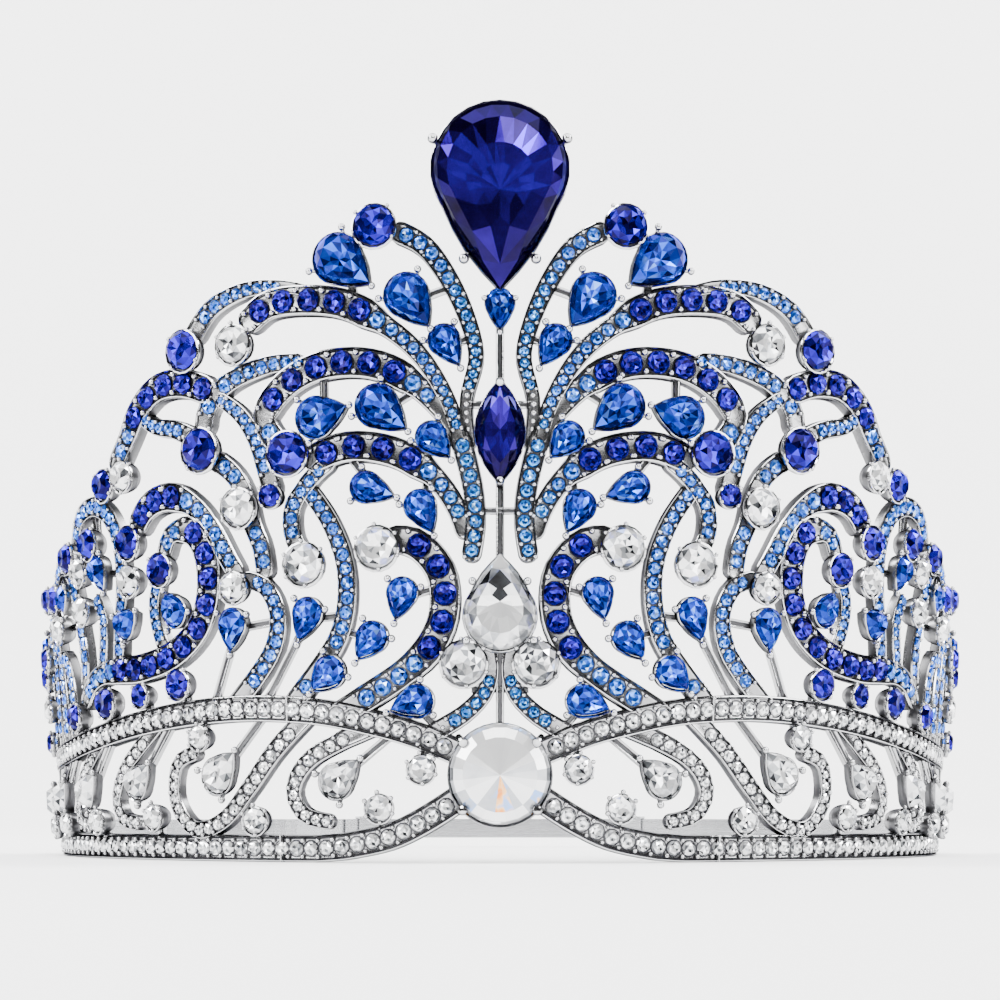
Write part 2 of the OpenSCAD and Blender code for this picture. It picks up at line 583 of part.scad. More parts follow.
// Steel strips of the back: a bend round the back, a straight run and a foot along the casting.
// The left one runs outside the right one.
inner_steel_r = steel_r + steel_t;
bend_az = 100;
bend_step = 2.5;
foot_steps = 3;
round_fn = 240;
foot_r = wall_r(steel_z) - slide_gap;
module ring_piece(from, to, low, high, outer_r, inner_r, back = 0) {
    translate([0, centre_y + back, 0]) rotate([0, 0, -90 - to])
        rotate_extrude(angle = to - from, $fn = round_fn)
            translate([inner_r, low]) square([outer_r - inner_r, high - low]);
}
module steel_strip(outer_r) {
    foot_deg = foot_l / foot_r * 180 / PI;
    end_az = 180 + steel_lap;
    low = steel_z;
    high = steel_z + steel_h;
    // Centre, outer radius and azimuth of each section
    sections = concat(
        [for (k = [0:foot_steps]) [centre_y, foot_r, foot_az - foot_deg * (1 - k / foot_steps)]],
        [for (a = [bend_az:bend_step:end_az - 1]) [centre_y + steel_back, outer_r, a]],
        [[centre_y + steel_back, outer_r, end_az]]
    );
    tube([for (s = sections) [for (c = [[steel_t, low], [steel_t, high], [0, high], [0, low]])
        [-(s[1] - c[0]) * sin(s[2]), s[0] - (s[1] - c[0]) * cos(s[2]), c[1]]]]);
}
module left_steel_strip() color(steel) steel_strip(outer_steel_r);
module right_steel_strip() color(steel) mirror([1, 0, 0]) steel_strip(inner_steel_r);

// A folded sleeve around both strips, at the end of each
module sleeve() {
    deg = sleeve_w / steel_r * 180 / PI;
    slot_out = outer_steel_r + slide_gap;
    slot_in = steel_r - slide_gap;
    translate([0, centre_y + steel_back, 0]) rotate([0, 0, -90 - 180 - steel_lap + deg])
        rotate_extrude(angle = deg, $fn = round_fn) difference() {
            translate([slot_in - sleeve_t, steel_z - slide_gap - sleeve_t])
                square([slot_out - slot_in + 2 * sleeve_t, steel_h + 2 * slide_gap + 2 * sleeve_t]);
            translate([slot_in, steel_z - slide_gap])
                square([slot_out - slot_in, steel_h + 2 * slide_gap]);
        }
}
module left_sleeve() color(steel) mirror([1, 0, 0]) sleeve();
module right_sleeve() color(steel) sleeve();

// The folded clip that holds a steel strip's foot against the inside of its casting
module clip() {
    deg = clip_w / foot_r * 180 / PI;
    from = foot_az - foot_l / 2 / foot_r * 180 / PI - deg;
    face = foot_r - steel_t - slide_gap;
    low = steel_z - slide_gap - steel_t;
    high = steel_z + steel_h + slide_gap;
    ring_piece(from, from + deg, low, high + steel_t, face, face - steel_t);
    for (z = [low, high]) ring_piece(from, from + deg, z, z + steel_t, foot_r, face - steel_t / 2);
}
module left_clip() color(steel) clip();
module right_clip() color(steel) mirror([1, 0, 0]) clip();

// Stones on the centre line
module top_drop() color(royal) on_wall([0, top_up], crest_t + seat_gap) rotate([0, 0, -90])
    deep_stone(drop_outline(top_w, top_l, 16), top_cut);
module small_drop() color(blue) on_wall([0, small_up], seat_h + seat_gap) rotate([0, 0, -90])
    cut_stone(drop_outline(small_w, small_l, drop_corners), small_w * cut_h / 100);
module pointed_oval() color(royal) on_wall([0, oval_up], seat_h + seat_gap) rotate([0, 0, 90])
    cut_stone(oval_outline(oval_w, oval_l), oval_w * cut_h / 100, oval_table);
module clear_drop() color(clear) on_wall([0, drop_up], seat_h + seat_gap) rotate([0, 0, 90])
    cut_stone(drop_outline(drop_w, drop_l, 12), drop_w * cut_h / 100);
module pair_round(side) color(clear) round_stone([side * pair_az, pair_up, pair_d]);
module badge_stone() color(clear) on_wall([0, badge_up], seat_h + seat_gap)
    deep_stone(round_outline(badge_d, badge_sides), badge_share * badge_d * cut_h / 100);

// Stones of one side
module sided(side) {
    if (side == "left") children();
    else mirror([1, 0, 0]) children();
}
module royal_line() {
    color(royal) for (row = strips) if (row[last_at] > 0) for (q = line_places(row))
        on_wall([q[0] / wall_r(q[1]) * 180 / PI, q[1] / lattice_h * 100], strip_t + seat_gap)
            round_cut(line_d);
}
module rounds_of(name) {
    hued(name) for (row = field_rounds) if (row[hue] == name) round_stone(row);
}
module blue_drops() color(blue) for (row = field_drops) drop_stone(row);
module band_stones() color(clear) {
    for (row = all_band_rounds) round_stone(row);
    for (row = all_band_drops) drop_stone(row);
}

front_casting();
left_wing();
right_wing();
left_steel_strip();
right_steel_strip();
left_sleeve();
right_sleeve();
left_clip();
right_clip();
top_drop();
small_drop();
pointed_oval();
clear_drop();
pair_round(1);  // left_pair_round
pair_round(-1);  // right_pair_round
badge_stone();
for (side = ["left", "right"]) {
    for (i = [0:len(single_rounds) - 1])
        sided(side) hued(single_rounds[i][hue]) round_stone(single_rounds[i]);
    for (i = [0:len(single_drops) - 1])
        sided(side) hued("blue") drop_stone(single_drops[i]);
    sided(side) royal_line();
    sided(side) rounds_of("royal");
    sided(side) rounds_of("clear");
    sided(side) blue_drops();
    sided(side) band_stones();
}
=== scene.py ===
import math
import random

import bmesh
import bpy
from mathutils import Matrix, Vector


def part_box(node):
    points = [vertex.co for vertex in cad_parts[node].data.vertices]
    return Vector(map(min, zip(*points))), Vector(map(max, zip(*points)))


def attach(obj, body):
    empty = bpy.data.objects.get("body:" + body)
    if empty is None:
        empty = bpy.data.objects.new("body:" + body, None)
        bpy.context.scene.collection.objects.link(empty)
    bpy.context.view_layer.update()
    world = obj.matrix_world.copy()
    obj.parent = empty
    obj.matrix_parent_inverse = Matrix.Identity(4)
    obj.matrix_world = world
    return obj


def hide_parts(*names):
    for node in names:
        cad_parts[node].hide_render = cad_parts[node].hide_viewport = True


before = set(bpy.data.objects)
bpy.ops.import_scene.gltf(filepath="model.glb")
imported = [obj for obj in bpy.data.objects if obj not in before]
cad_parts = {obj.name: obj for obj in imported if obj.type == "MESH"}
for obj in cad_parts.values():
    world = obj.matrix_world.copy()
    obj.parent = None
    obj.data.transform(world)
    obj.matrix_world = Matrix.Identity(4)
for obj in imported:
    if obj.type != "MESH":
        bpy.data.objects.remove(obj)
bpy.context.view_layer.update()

bl_info = {
    "name": "Pageant crown",
    "version": (1, 0, 0),
    "blender": (4, 5, 0),
    "location": "3D View > Sidebar > Crown",
    "description": "Dresses the crown's solids with set strips, cups, cut stones and a studio",
    "category": "Add Mesh",
}

# The wall that the lattice lies on: a cone that opens upwards, its front towards -Y. Lengths are in
# millimetres, and MM turns them into metres
MM = 0.001
RING_R = 76.0
LEAN = math.radians(5)
RISE = math.tan(LEAN)
# From the wall's middle to the back of the outer steel strip, whose box places the wall in the frame
STEEL_BACK_Y = 73.15
CENTRE_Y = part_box("left_steel_strip")[1].y / MM - STEEL_BACK_Y
LEFT, RIGHT = -1, 1
SIDES = (LEFT, RIGHT)
SEED = 7

# Strips of one half: kind, width at both ends in percent, first and last royal stone in percent
# of the length, route as azimuth and height. L is a light strip, R one with royal stones and C a
# scroll with clear stones under the base band's upper strip. B is a strip of the band itself
LIGHT_W, ROYAL_W, BAND_W = 3.2, 4.4, 4.0
STRIPS = [
    ("L", 90, 45, 0, 0, [(10.8, 93), (7.5, 90.2), (5, 85), (3.2, 79), (2.4, 73.5), (3.4, 67), (3, 60)]),
    ("R", 80, 40, 8, 44, [(27.5, 80), (24.5, 83), (20.2, 83.3), (15.5, 82), (11, 78), (7.8, 73.5), (5.2, 67),
                          (4, 61)]),
    ("L", 40, 100, 0, 0, [(18.8, 84), (22.5, 85.6), (27, 85.8), (31, 84), (33.4, 81), (34.3, 79)]),
    ("R", 75, 55, 14, 47.5, [(23.3, 61.4), (25.2, 66), (22.8, 70.5), (18.5, 73.2), (13, 73), (8.6, 69.6),
                             (4.7, 63.4), (3, 56), (2.5, 49.5), (3.1, 43.5)]),
    ("L", 70, 100, 0, 0, [(20.5, 74), (24.5, 74), (29.5, 72), (32.4, 68.4), (33, 64.5)]),
    ("R", 75, 80, 7.5, 66, [(31.6, 70.8), (35.5, 72.9), (39.6, 72.9), (43, 70), (45.3, 65.8), (48.2, 61.3)]),
    ("L", 60, 90, 0, 0, [(43, 69.5), (40.3, 67), (37, 65.9), (34, 63.8)]),
    ("L", 60, 90, 0, 0, [(31, 70), (28.2, 67), (26.3, 63), (25.2, 58.5), (24.3, 54)]),
    ("L", 90, 80, 0, 0, [(32.2, 61), (29.4, 58.2), (27.8, 54.5), (27, 50), (26, 46.5), (25.6, 42)]),
    ("R", 75, 55, 11.5, 53.5, [(20.6, 58.8), (16, 60.9), (11, 59.9), (7, 56.4), (4.6, 51.8), (3.4, 47)]),
    ("L", 70, 80, 0, 0, [(17.4, 59.2), (19.8, 56.6), (22, 52.6), (22.2, 48.4), (21.2, 45.2)]),
    ("L", 70, 90, 0, 0, [(20.6, 55.4), (18, 50), (16.4, 44), (16.2, 38), (17.2, 32.8), (19.4, 28.4),
                         (22.4, 23.6)]),
    ("R", 75, 80, 15.5, 64, [(12, 47.2), (8.6, 46.2), (6.1, 42), (5.8, 36), (7.4, 31), (10.4, 27.2),
                             (14.6, 23.6)]),
    ("L", 70, 90, 0, 0, [(28.4, 42.2), (25.6, 40.6), (24.2, 36.4), (24.8, 31.6), (27, 27.4), (29.6, 23.8)]),
    ("R", 80, 60, 10.5, 35, [(44.6, 51), (42, 54.6), (38.6, 55.7), (35.2, 54.2), (32.6, 50.6), (30.4, 45.6),
                             (28.9, 42.2)]),
    ("R", 60, 70, 15.5, 75.5, [(39.8, 46), (38.4, 49.8), (35.2, 50), (33.3, 46), (33.2, 40), (35, 34.8),
                               (39, 31.2), (44.6, 29.6), (50, 29.6), (55, 28.4), (58.6, 24.5)]),
    ("L", 60, 70, 0, 0, [(40.6, 43.4), (41.6, 39.5), (41.2, 35.5), (40, 31.5)]),
    ("L", 90, 80, 0, 0, [(59, 50), (57.4, 54.8), (53.4, 56.5), (49.8, 54.4), (47.8, 49.6), (47.5, 43),
                         (48.4, 36), (49, 30)]),
    ("L", 70, 70, 0, 0, [(53.6, 42), (52, 38), (52.2, 34), (53, 29.5)]),
    ("L", 90, 80, 0, 0, [(68.4, 44.5), (66, 48), (62.6, 47.8), (60.2, 44), (58.6, 38), (57.6, 32.5),
                         (58, 27)]),
    ("L", 80, 90, 0, 0, [(68.4, 32.5), (65, 32.6), (63, 29), (62.5, 24), (62.7, 18.5)]),
    ("L", 80, 90, 0, 0, [(77, 37.5), (73.5, 40), (70, 37.4), (67.6, 31), (66.4, 24), (66.3, 18)]),
    ("L", 80, 90, 0, 0, [(86.5, 28), (84.6, 34.6), (80.8, 37.4), (77.4, 34.6), (75.4, 28), (74.4, 17)]),
    ("L", 80, 90, 0, 0, [(71.6, 36), (70.4, 27), (70.4, 17)]),
    ("L", 90, 90, 0, 0, [(87, 16), (86.2, 22), (83.2, 25.2), (80, 22.4), (79, 16.5)]),
    ("L", 60, 80, 0, 0, [(1.5, 32), (1, 28), (1.6, 24.6), (3.6, 21.6), (6.4, 19.2)]),
]
SCROLLS = [
    ("C", 80, 60, 0, 0, [(13, 20), (17, 17.8), (21, 14.8), (22.9, 10.6), (21.6, 6.9), (18.2, 5.8)]),
    ("C", 80, 60, 0, 0, [(21, 21.5), (25, 16.4), (28.4, 11), (32, 6.2), (36.4, 4.7), (39.4, 9), (38.8, 14.6),
                         (35.6, 16.4)]),
]
# The first scroll comes again, with its stones, this many degrees further round
SCROLL_TURNS = (28, 40, 51, 60)
BAND_TOP = [(3.6, 15.4), (9, 18.5), (14, 20.4), (20, 22), (28, 22.7), (36, 22.3), (46, 20.9), (58, 18.7),
            (70, 16.9), (88, 15.7)]
BAND_RISE = [(3.6, 10), (8, 6.2), (12, 3.7), (17, 2.3)]
# Azimuth where the lattice ends, and how far the base band's lower strip runs on past it
LATTICE_AZ, TAIL_L = 88, 6
# Where the castings are soldered together, low on the band and above it
SEAM_AZ, HIGH_SEAM_AZ = 24.4, 23.2

# Round stones of one half: azimuth, height, width, glass, place that a short stem runs to
SINGLE_ROUNDS = [
    (12.4, 93.4, 6.4, "royal", None), (34.8, 77.8, 6.4, "royal", (35.2, 72.6)),
    (28.2, 77.6, 6, "clear", None),
    (33, 62.2, 6.8, "royal", None), (22.2, 60.4, 6.6, "royal", None), (28.2, 52.8, 6, "clear", None),
    (20.6, 43.8, 6.4, "clear", None), (12.6, 45.8, 6.4, "clear", None),
]
FIELD_ROUNDS = [
    (24.3, 54.2, 3.6, "royal", None), (44.8, 49.4, 5.4, "royal", None), (39.6, 44.6, 5.2, "royal", None),
    (49.2, 59.2, 5.2, "royal", (47.8, 62)), (53.3, 50.4, 5.2, "royal", (53.4, 56.4)),
    (59.6, 49, 5, "royal", None), (65.6, 43, 5, "royal", (65.8, 48)), (37.4, 26.8, 4.8, "royal", (37, 22.2)),
    (43.8, 25.4, 3.8, "royal", (43.8, 21.2)), (50.8, 24.6, 5, "royal", (50.8, 20.2)),
    (70, 43.4, 4.4, "royal", (67.6, 46)), (74.4, 33.6, 4.6, "royal", (77.4, 34)),
    (80.4, 31, 4.6, "royal", (80.8, 37.2)), (82.8, 19.6, 4.2, "royal", (82.8, 16)),
    (59.5, 22.9, 4.4, "royal", (59.5, 18.4)), (29.2, 40.9, 4.8, "clear", None),
    (45, 43.4, 5, "clear", (47.8, 43.4)), (45.4, 60, 5, "clear", (47.4, 62.6)),
    (56.2, 46.2, 4.8, "clear", (60.4, 44.8)), (55.9, 39.8, 4.8, "clear", (59, 40.2)),
    (64.4, 37.8, 4.8, "clear", (58.6, 38)), (75, 25, 4, "clear", None), (83.2, 26, 4.4, "clear", None),
]
BAND_ROUNDS = [
    (8.2, 13.6, 4.2, "clear", (8.2, 18)), (12.8, 8, 4.2, "clear", (12.8, 3.6)),
    (27.3, 6.2, 4.2, "clear", (27.3, 2)), (34.6, 18.6, 3.8, "clear", (34.6, 22.2)),
]
TURNED_ROUND = (14.4, 6.4, 4, "clear", (14.6, 1.7))

# Drops of one half: azimuth, height, width, glass, length, direction of the point, stem places
SINGLE_DROPS = [
    (15.6, 88.2, 7.4, "blue", 10, -40, [(14.6, 81.4)]), (8.8, 82, 6.4, "blue", 8.8, -55, [(5, 84)]),
    (5.2, 75.3, 4.4, "blue", 6.4, -60, [(3, 76.5)]), (18.3, 65.8, 6, "blue", 8, 15, [(18.4, 72.8)]),
    (11.8, 66, 6.2, "blue", 8.6, -40, [(8.4, 69)]),
]
FIELD_DROPS = [
    (6.5, 61.3, 4.4, "blue", 6, -50, [(8, 57.5)]), (13, 54.5, 4.4, "blue", 6.6, -20, [(15.4, 59)]),
    (7.8, 51, 4.4, "blue", 6.4, -65, [(7.4, 56.5)]), (10.2, 38.4, 4.2, "blue", 6, -105, [(6, 40)]),
    (13.6, 32.2, 4.4, "blue", 6, -125, [(17, 34)]), (18.4, 27.4, 4.6, "blue", 6, -135, [(20, 26)]),
    (9.2, 23.2, 4.6, "blue", 6.4, -160, [(6.6, 19.4)]),
    (20.6, 35.7, 4.4, "blue", 6.4, -110, [(26, 24), (17, 36)]),
    (29.6, 34.7, 4.6, "blue", 6.2, -95, [(33, 24), (25, 35.5)]),
    (37.8, 38.4, 4.6, "blue", 5.6, 120, [(41, 39)]),
    (46, 37, 4.6, "blue", 5.6, 30, [(49, 37.6)]), (51.4, 45.4, 4.4, "blue", 6, -60, [(48, 45)]),
    (62.4, 42.6, 3.6, "blue", 5, -90, [(59.8, 42.6)]), (83.8, 36.4, 4.2, "blue", 5.6, -60, [(80.6, 34)]),
]
BAND_DROPS = [
    (17, 12.6, 5, "clear", 7, 40, [(11.5, 18.6)]), (31.8, 13.6, 5.4, "clear", 7.4, 45, [(26.5, 21.6)]),
]
TURNED_DROP = (17, 12.6, 5, "clear", 6.8, 40, [(11.8, 18.8)])
SHORT_BARS = [((-1, 51), (4, 51)), ((-1, 25), (3, 25)), ((25, 65.4), (27.6, 65)), ((25.4, 82), (25.8, 85.6))]

# Stones on the centre line: height, width, length. PAIR has the azimuth of its two rounds last
TOP_DROP, SMALL_DROP, OVAL = (97.4, 20, 28), (80.6, 4, 5.8), (62.6, 7, 15)
CLEAR_DROP, BADGE, PAIR = (37.6, 10.4, 14), (12.8, 14.6), (28.8, 6.6, 3.7)

# Heights above the wall's inner face
CUP_TOP, SEAT_TOP, CREST_TOP = 2.95, 2.45, 2.45
ROYAL_SEAT, LIGHT_SEAT = 1.85, 1.68
# The third of these is the height of the dark discs of painted shade round the small stones
GRAIN_SEAT, BEAD_SEAT, SHADE_DISC_SEAT, CUP_CLAW = 1.9, 1.55, 1.7, 3.15
# Width of a royal stone in a strip, the pitch of its row, and the widest of the small stones
ROYAL_D, ROYAL_PITCH = 3.5, 4.1
WIDEST_SMALL = 2.6
# The rails stand this much wider than the plain strips of the solids
RAIL_SPREAD = 1.2
# Light strips and scrolls start this high above the wall's inner face, at this share of the thickness
LIGHT_LIFT, LIGHT_THICK = 0.22, 0.86
# Where the strips meet the base band, above or below the middle of its upper strip
BAND_MEET = 1.6
# Half widths of the wires: of a round's stem, a drop's stem, a seam, the lattice's end and the bar
# behind the pointed oval
STEM, DROP_STEM, SEAM, END_POST, TIE = 0.5, 0.62, 0.36, 1.0, 0.55

# Glasses: material, how much of a mirror the foil makes it, tint at a flat angle, shades by a facet's number.
# The shades are painted reflections, from dark facets to white highlights, and the pointed clear stone's take
# in a painted orange and blue flash
GLASSES = {
    "royal": ("royal_glass", 0.78, (0.1, 0.03, 0.5, 1), (
        (0, "#040012"), (0.3, "#100344"), (0.62, "#1c0684"), (0.88, "#280cc0"), (1, "#4c32f4"))),
    "crest": ("deep_royal_glass", 0.8, (0.1, 0.03, 0.5, 1), (
        (0, "#050010"), (0.3, "#150446"), (0.62, "#2c0888"), (0.88, "#3c12cc"), (1, "#6448f8"))),
    "blue": ("mid_blue_glass", 0.72, (0.1, 0.22, 0.8, 1), (
        (0, "#03041e"), (0.25, "#091862"), (0.58, "#14309e"), (0.85, "#2c5ada"), (1, "#84b4ff"))),
    "light": ("sky_blue_glass", 0.7, (0.15, 0.35, 0.85, 1), (
        (0, "#040e2c"), (0.26, "#123a90"), (0.55, "#2e6ad0"), (0.82, "#649ef2"), (1, "#d8e8ff"))),
    "clear": ("clear_glass", 0.66, (0.5, 0.5, 0.52, 1), (
        (0, "#070708"), (0.1, "#2a2c2f"), (0.24, "#94979b"), (0.42, "#e0e1e2"), (1, "#ffffff"))),
    "badge": ("pointed_clear_glass", 0.62, (0.6, 0.6, 0.62, 1), (
        (0, "#3c3e42"), (0.11, "#a8abb0"), (0.13, "#f08a30"), (0.165, "#f6c890"), (0.19, "#88b0f0"),
        (0.24, "#a8abb0"), (0.5, "#e0e1e2"), (1, "#ffffff"))),
}
# Painted reflection shades, from dark facets to a white highlight, that the sky-blue stones lean to near the
# centre line
AQUA = ((0, "#03162c"), (0.28, "#0a4c7a"), (0.58, "#1c84b0"), (0.84, "#48b6dc"), (1, "#c8f4ff"))
GLASS_ROUGH, BADGE_ROUGH = 0.05, 0.1

# What the operators hand on: node trees, finishes, and the strips with their small stones
TREES, FINISH, LAID = {}, {}, {}


# Places on the wall
def wall_r(up):
    return RING_R + up * RISE


def flat(place):
    """Azimuth and height, as a place in the flat drawing of the wall."""
    return Vector((math.radians(place[0]) * wall_r(place[1]), place[1]))


def on_wall(q, out, side):
    """A place of the flat drawing, set on the wall and that far out from it."""
    r = wall_r(q[1])
    a = q[0] / r
    return Vector((side * (r + out) * math.sin(a), CENTRE_Y - (r + out) * math.cos(a), q[1])) * MM


def wall_axes(q, side):
    """Directions of the viewer's right as the flat drawing has it, of up the wall and of outwards."""
    a = q[0] / wall_r(q[1])
    along = Vector((side * math.cos(a), math.sin(a), 0))
    out = Vector((side * math.sin(a), -math.cos(a), 0))
    return along, Vector((0, 0, 1)) + out * RISE, out


def turn_on_wall(q, phi, side):
    """The turn that sets a piece square to the wall, its X towards phi as seen from the front."""
    az = side * math.degrees(q[0] / wall_r(q[1]))
    spin = math.radians(phi if side == LEFT else 180 - phi)
    upright = Matrix.Rotation(math.pi / 2 + LEAN, 3, "X")
    turn = Matrix.Rotation(math.radians(az), 3, "Z") @ upright @ Matrix.Rotation(spin, 3, "Z")
    return turn.to_euler("XYZ")


def set_on_wall(shapes, q, phi, side, out=0.0):
    """Shapes in millimetres, set on the wall: X towards phi, Z out of it, and moved outwards by out."""
    turn = turn_on_wall(q, phi, side).to_matrix()
    place = on_wall(q, 0, side)
    moved = wall_axes(q, side)[2] * out * MM
    return [([place + turn @ (Vector(v) * MM) + moved for v in verts], faces) for verts, faces in shapes]


def smooth_route(points, steps):
    """A curve through all the points, with that many steps between each two."""
    last = len(points) - 1
    line = []
    for i in range(last):
        a, b, c, d = points[max(i - 1, 0)], points[i], points[i + 1], points[min(i + 2, last)]
        for k in range(steps):
            t = k / steps
            line.append(0.5 * (2 * b + (c - a) * t + (2 * a - 5 * b + 4 * c - d) * t * t
                               + (3 * b - a - 3 * c + d) * t ** 3))
    return line + [points[last]]


class Line:
    """A flat line with its lengths, to find places and directions along it."""

    def __init__(self, points):
        self.points = points
        self.sums = [0.0]
        for a, b in zip(points, points[1:]):
            self.sums.append(self.sums[-1] + (b - a).length)
        self.length = self.sums[-1]

    def at(self, s):
        s = min(max(s, 0.0), self.length)
        for i in range(len(self.points) - 1):
            if self.sums[i + 1] >= s or i == len(self.points) - 2:
                step = self.sums[i + 1] - self.sums[i]
                return self.points[i].lerp(self.points[i + 1], (s - self.sums[i]) / step)

    def heading(self, s):
        return (self.at(s + 0.4) - self.at(s - 0.4)).normalized()


def left_of(d):
    return Vector((-d.y, d.x))


def band_up(az):
    """Height of the middle of the base band's upper strip."""
    for (a, u), (b, v) in zip(BAND_TOP, BAND_TOP[1:]):
        if b >= az or b == BAND_TOP[-1][0]:
            return u + (v - u) * (az - a) / (b - a)


def over_band(q):
    """How far a place is above the middle of the base band's upper strip."""
    return q.y - band_up(min(max(math.degrees(q.x / wall_r(q.y)), BAND_TOP[0][0]), LATTICE_AZ))


def turned(place, turn):
    """A place under the band's upper strip, carried round and kept at its share of the height there."""
    az = place[0] + turn
    return (az, place[1] * band_up(az) / band_up(place[0]))


def turned_stone(row, turn):
    p = turned(row[:2], turn)
    if len(row) == 5:
        return p + row[2:4] + (turned(row[4], turn),)
    return p + row[2:6] + ([turned(q, turn) for q in row[6]],)


ALL_SCROLLS = SCROLLS + [SCROLLS[0][:5] + ([turned(p, t) for p in SCROLLS[0][5]],) for t in SCROLL_TURNS]
ALL_ROUNDS = SINGLE_ROUNDS + FIELD_ROUNDS + BAND_ROUNDS
ALL_ROUNDS += [turned_stone(TURNED_ROUND, t) for t in SCROLL_TURNS]
ALL_DROPS = SINGLE_DROPS + FIELD_DROPS + BAND_DROPS
ALL_DROPS += [turned_stone(TURNED_DROP, t) for t in SCROLL_TURNS]
PAIR_ROUND = (PAIR[2], PAIR[0], PAIR[1], "clear", None)
CUPPED_ROUNDS = ALL_ROUNDS + [PAIR_ROUND]


class Strip:
    """One set strip: its kind, its flat line and its half width along it. It widens round royal stones."""
    # Half width beside a royal stone as a share of the stone's width, how far past the row it holds, and
    # the length of the taper after that
    royal_share, royal_reach, royal_taper = 0.66, 1.4, 3
    # A rounded end: its length as a share of the half width, its steps, and how far it closes. Then the
    # step along the rest of the strip
    end_share, end_steps, end_closed = 0.8, (0, 0.06, 0.2, 0.45), 0.92
    step_l = 1.4

    def __init__(self, kind, line, half_start, half_end, royals=()):
        self.kind, self.line, self.royals = kind, line, royals
        self.half_start, self.half_end = half_start, half_end

    def half(self, s):
        plain = self.half_start + (self.half_end - self.half_start) * s / self.line.length
        if not self.royals:
            return plain
        beyond = max(self.royals[0] - s, s - self.royals[-1], 0)
        narrowed = min(max((beyond - self.royal_reach) / self.royal_taper, 0), 1)
        return plain + max(ROYAL_D * self.royal_share - plain, 0) * (1 - narrowed)

    def edges(self):
        """Pairs of places on the left and right edge: a free end is rounded, the band cuts the others."""
        length = self.line.length
        start, end = self.half(0) * self.end_share, self.half(length) * self.end_share
        count = max(2, round((length - start - end) / self.step_l))
        steps = [start * t for t in self.end_steps]
        steps += [start + (length - start - end) * k / count for k in range(count + 1)]
        steps += [length - end * t for t in reversed(self.end_steps)]
        pairs = []
        for s in steps:
            inside = 1 if self.kind == "B" else min(s / start, (length - s) / end, 1)
            open_share = math.sqrt(1 - self.end_closed * (1 - inside) ** 2)
            across = left_of(self.line.heading(s)) * self.half(s) * open_share
            pairs.append((self.line.at(s) + across, self.line.at(s) - across))
        return pairs if self.kind == "B" else cut_at_band(pairs, self.kind == "C")


def through_band(points, below):
    """A strip's line, its end carried on through the base band's upper strip where it ends near or in it."""
    way = -1 if below else 1
    end, step = points[-1], (points[-1] - points[-2]).normalized() * 0.2
    if way * over_band(end) > 4:
        return points
    more = []
    while way * over_band(end) > -BAND_MEET and len(more) < 60:
        end = end + step
        more.append(end)
    return points + more


def cut_at_band(pairs, below):
    """Cuts a strip's two edges along the edge of the base band, each where it gets there."""
    way = -1 if below else 1

    def clear(q):
        return way * over_band(q) - BAND_MEET

    def meeting(edge):
        for a, b in zip(edge, edge[1:]):
            if clear(a) > 0 >= clear(b):
                return a.lerp(b, clear(a) / (clear(a) - clear(b)))
        return edge[-1]

    good = [k for k, pair in enumerate(pairs) if min(clear(q) for q in pair) > 0]
    first, last = good[0], good[-1]
    kept = pairs[first:last + 1]
    if first > 0:
        kept.insert(0, tuple(meeting([pair[i] for pair in pairs[first::-1]]) for i in (0, 1)))
    if last + 1 < len(pairs):
        kept.append(tuple(meeting([pair[i] for pair in pairs[last:]]) for i in (0, 1)))
    return kept


def lattice_strips():
    strips = []
    for kind, start, end, first, last, route in STRIPS + ALL_SCROLLS:
        points = [flat(p) for p in route]
        smoothed = through_band(smooth_route(points, 8), kind == "C")
        line = Line(through_band(smoothed[::-1], kind == "C")[::-1])
        wide = (ROYAL_W if kind == "R" else LIGHT_W) * RAIL_SPREAD
        royals = []
        if last:
            full = Line(smooth_route(points, 6)).length
            lo, hi = full * first / 100, full * last / 100
            n = math.floor((hi - lo) / ROYAL_PITCH + 0.5)
            royals = [lo + (hi - lo) * k / n for k in range(n + 1)]
        strips.append(Strip(kind, line, wide * start / 200, wide * end / 200, royals))
    half = BAND_W / 2
    lower = smooth_route([flat(p) for p in BAND_RISE], 8)
    lower += [Vector((math.radians(a) * wall_r(half), half)) for a in range(20, LATTICE_AZ, 3)]
    lower.append(Vector((math.radians(LATTICE_AZ) * wall_r(half) + TAIL_L, half)))
    upper = smooth_route([flat(p) for p in BAND_TOP], 8)
    return strips + [Strip("B", Line(points), half, half) for points in (upper, lower)]


# Meshes
def link(obj):
    bpy.context.scene.collection.objects.link(obj)
    return obj


def mesh_object(name, verts, faces, edges=()):
    mesh = bpy.data.meshes.new(name)
    mesh.from_pydata([tuple(v) for v in verts], list(edges), faces)
    mesh.update()
    return link(bpy.data.objects.new(name, mesh))


def discard(*objects):
    for obj in objects:
        bpy.data.objects.remove(obj)


def put_attribute(mesh, name, values, domain="POINT"):
    """A number or a vector for each corner or face, whichever the values are."""
    if isinstance(values[0], (int, float)):
        mesh.attributes.new(name, "FLOAT", domain).data.foreach_set("value", values)
    else:
        spread = [x for v in values for x in v]
        mesh.attributes.new(name, "FLOAT_VECTOR", domain).data.foreach_set("vector", spread)


def facing_out(mesh):
    bm = bmesh.new()
    bm.from_mesh(mesh)
    bmesh.ops.recalc_face_normals(bm, faces=bm.faces)
    bm.to_mesh(mesh)
    bm.free()


def darken_sides(mesh):
    """Paints shade: marks faces that look out from the wall as bright and those that look along it as dark.
    """
    darkest, sideways, fall = 0.9, 1.15, 1.3
    shade_levels = []
    for v in mesh.vertices:
        out = Vector((v.co.x, v.co.y - CENTRE_Y * MM, 0)).normalized()
        shade_levels.append(darkest * min(max(sideways - fall * max(v.normal.dot(out), 0), 0), 1))
    put_attribute(mesh, "recess", shade_levels)


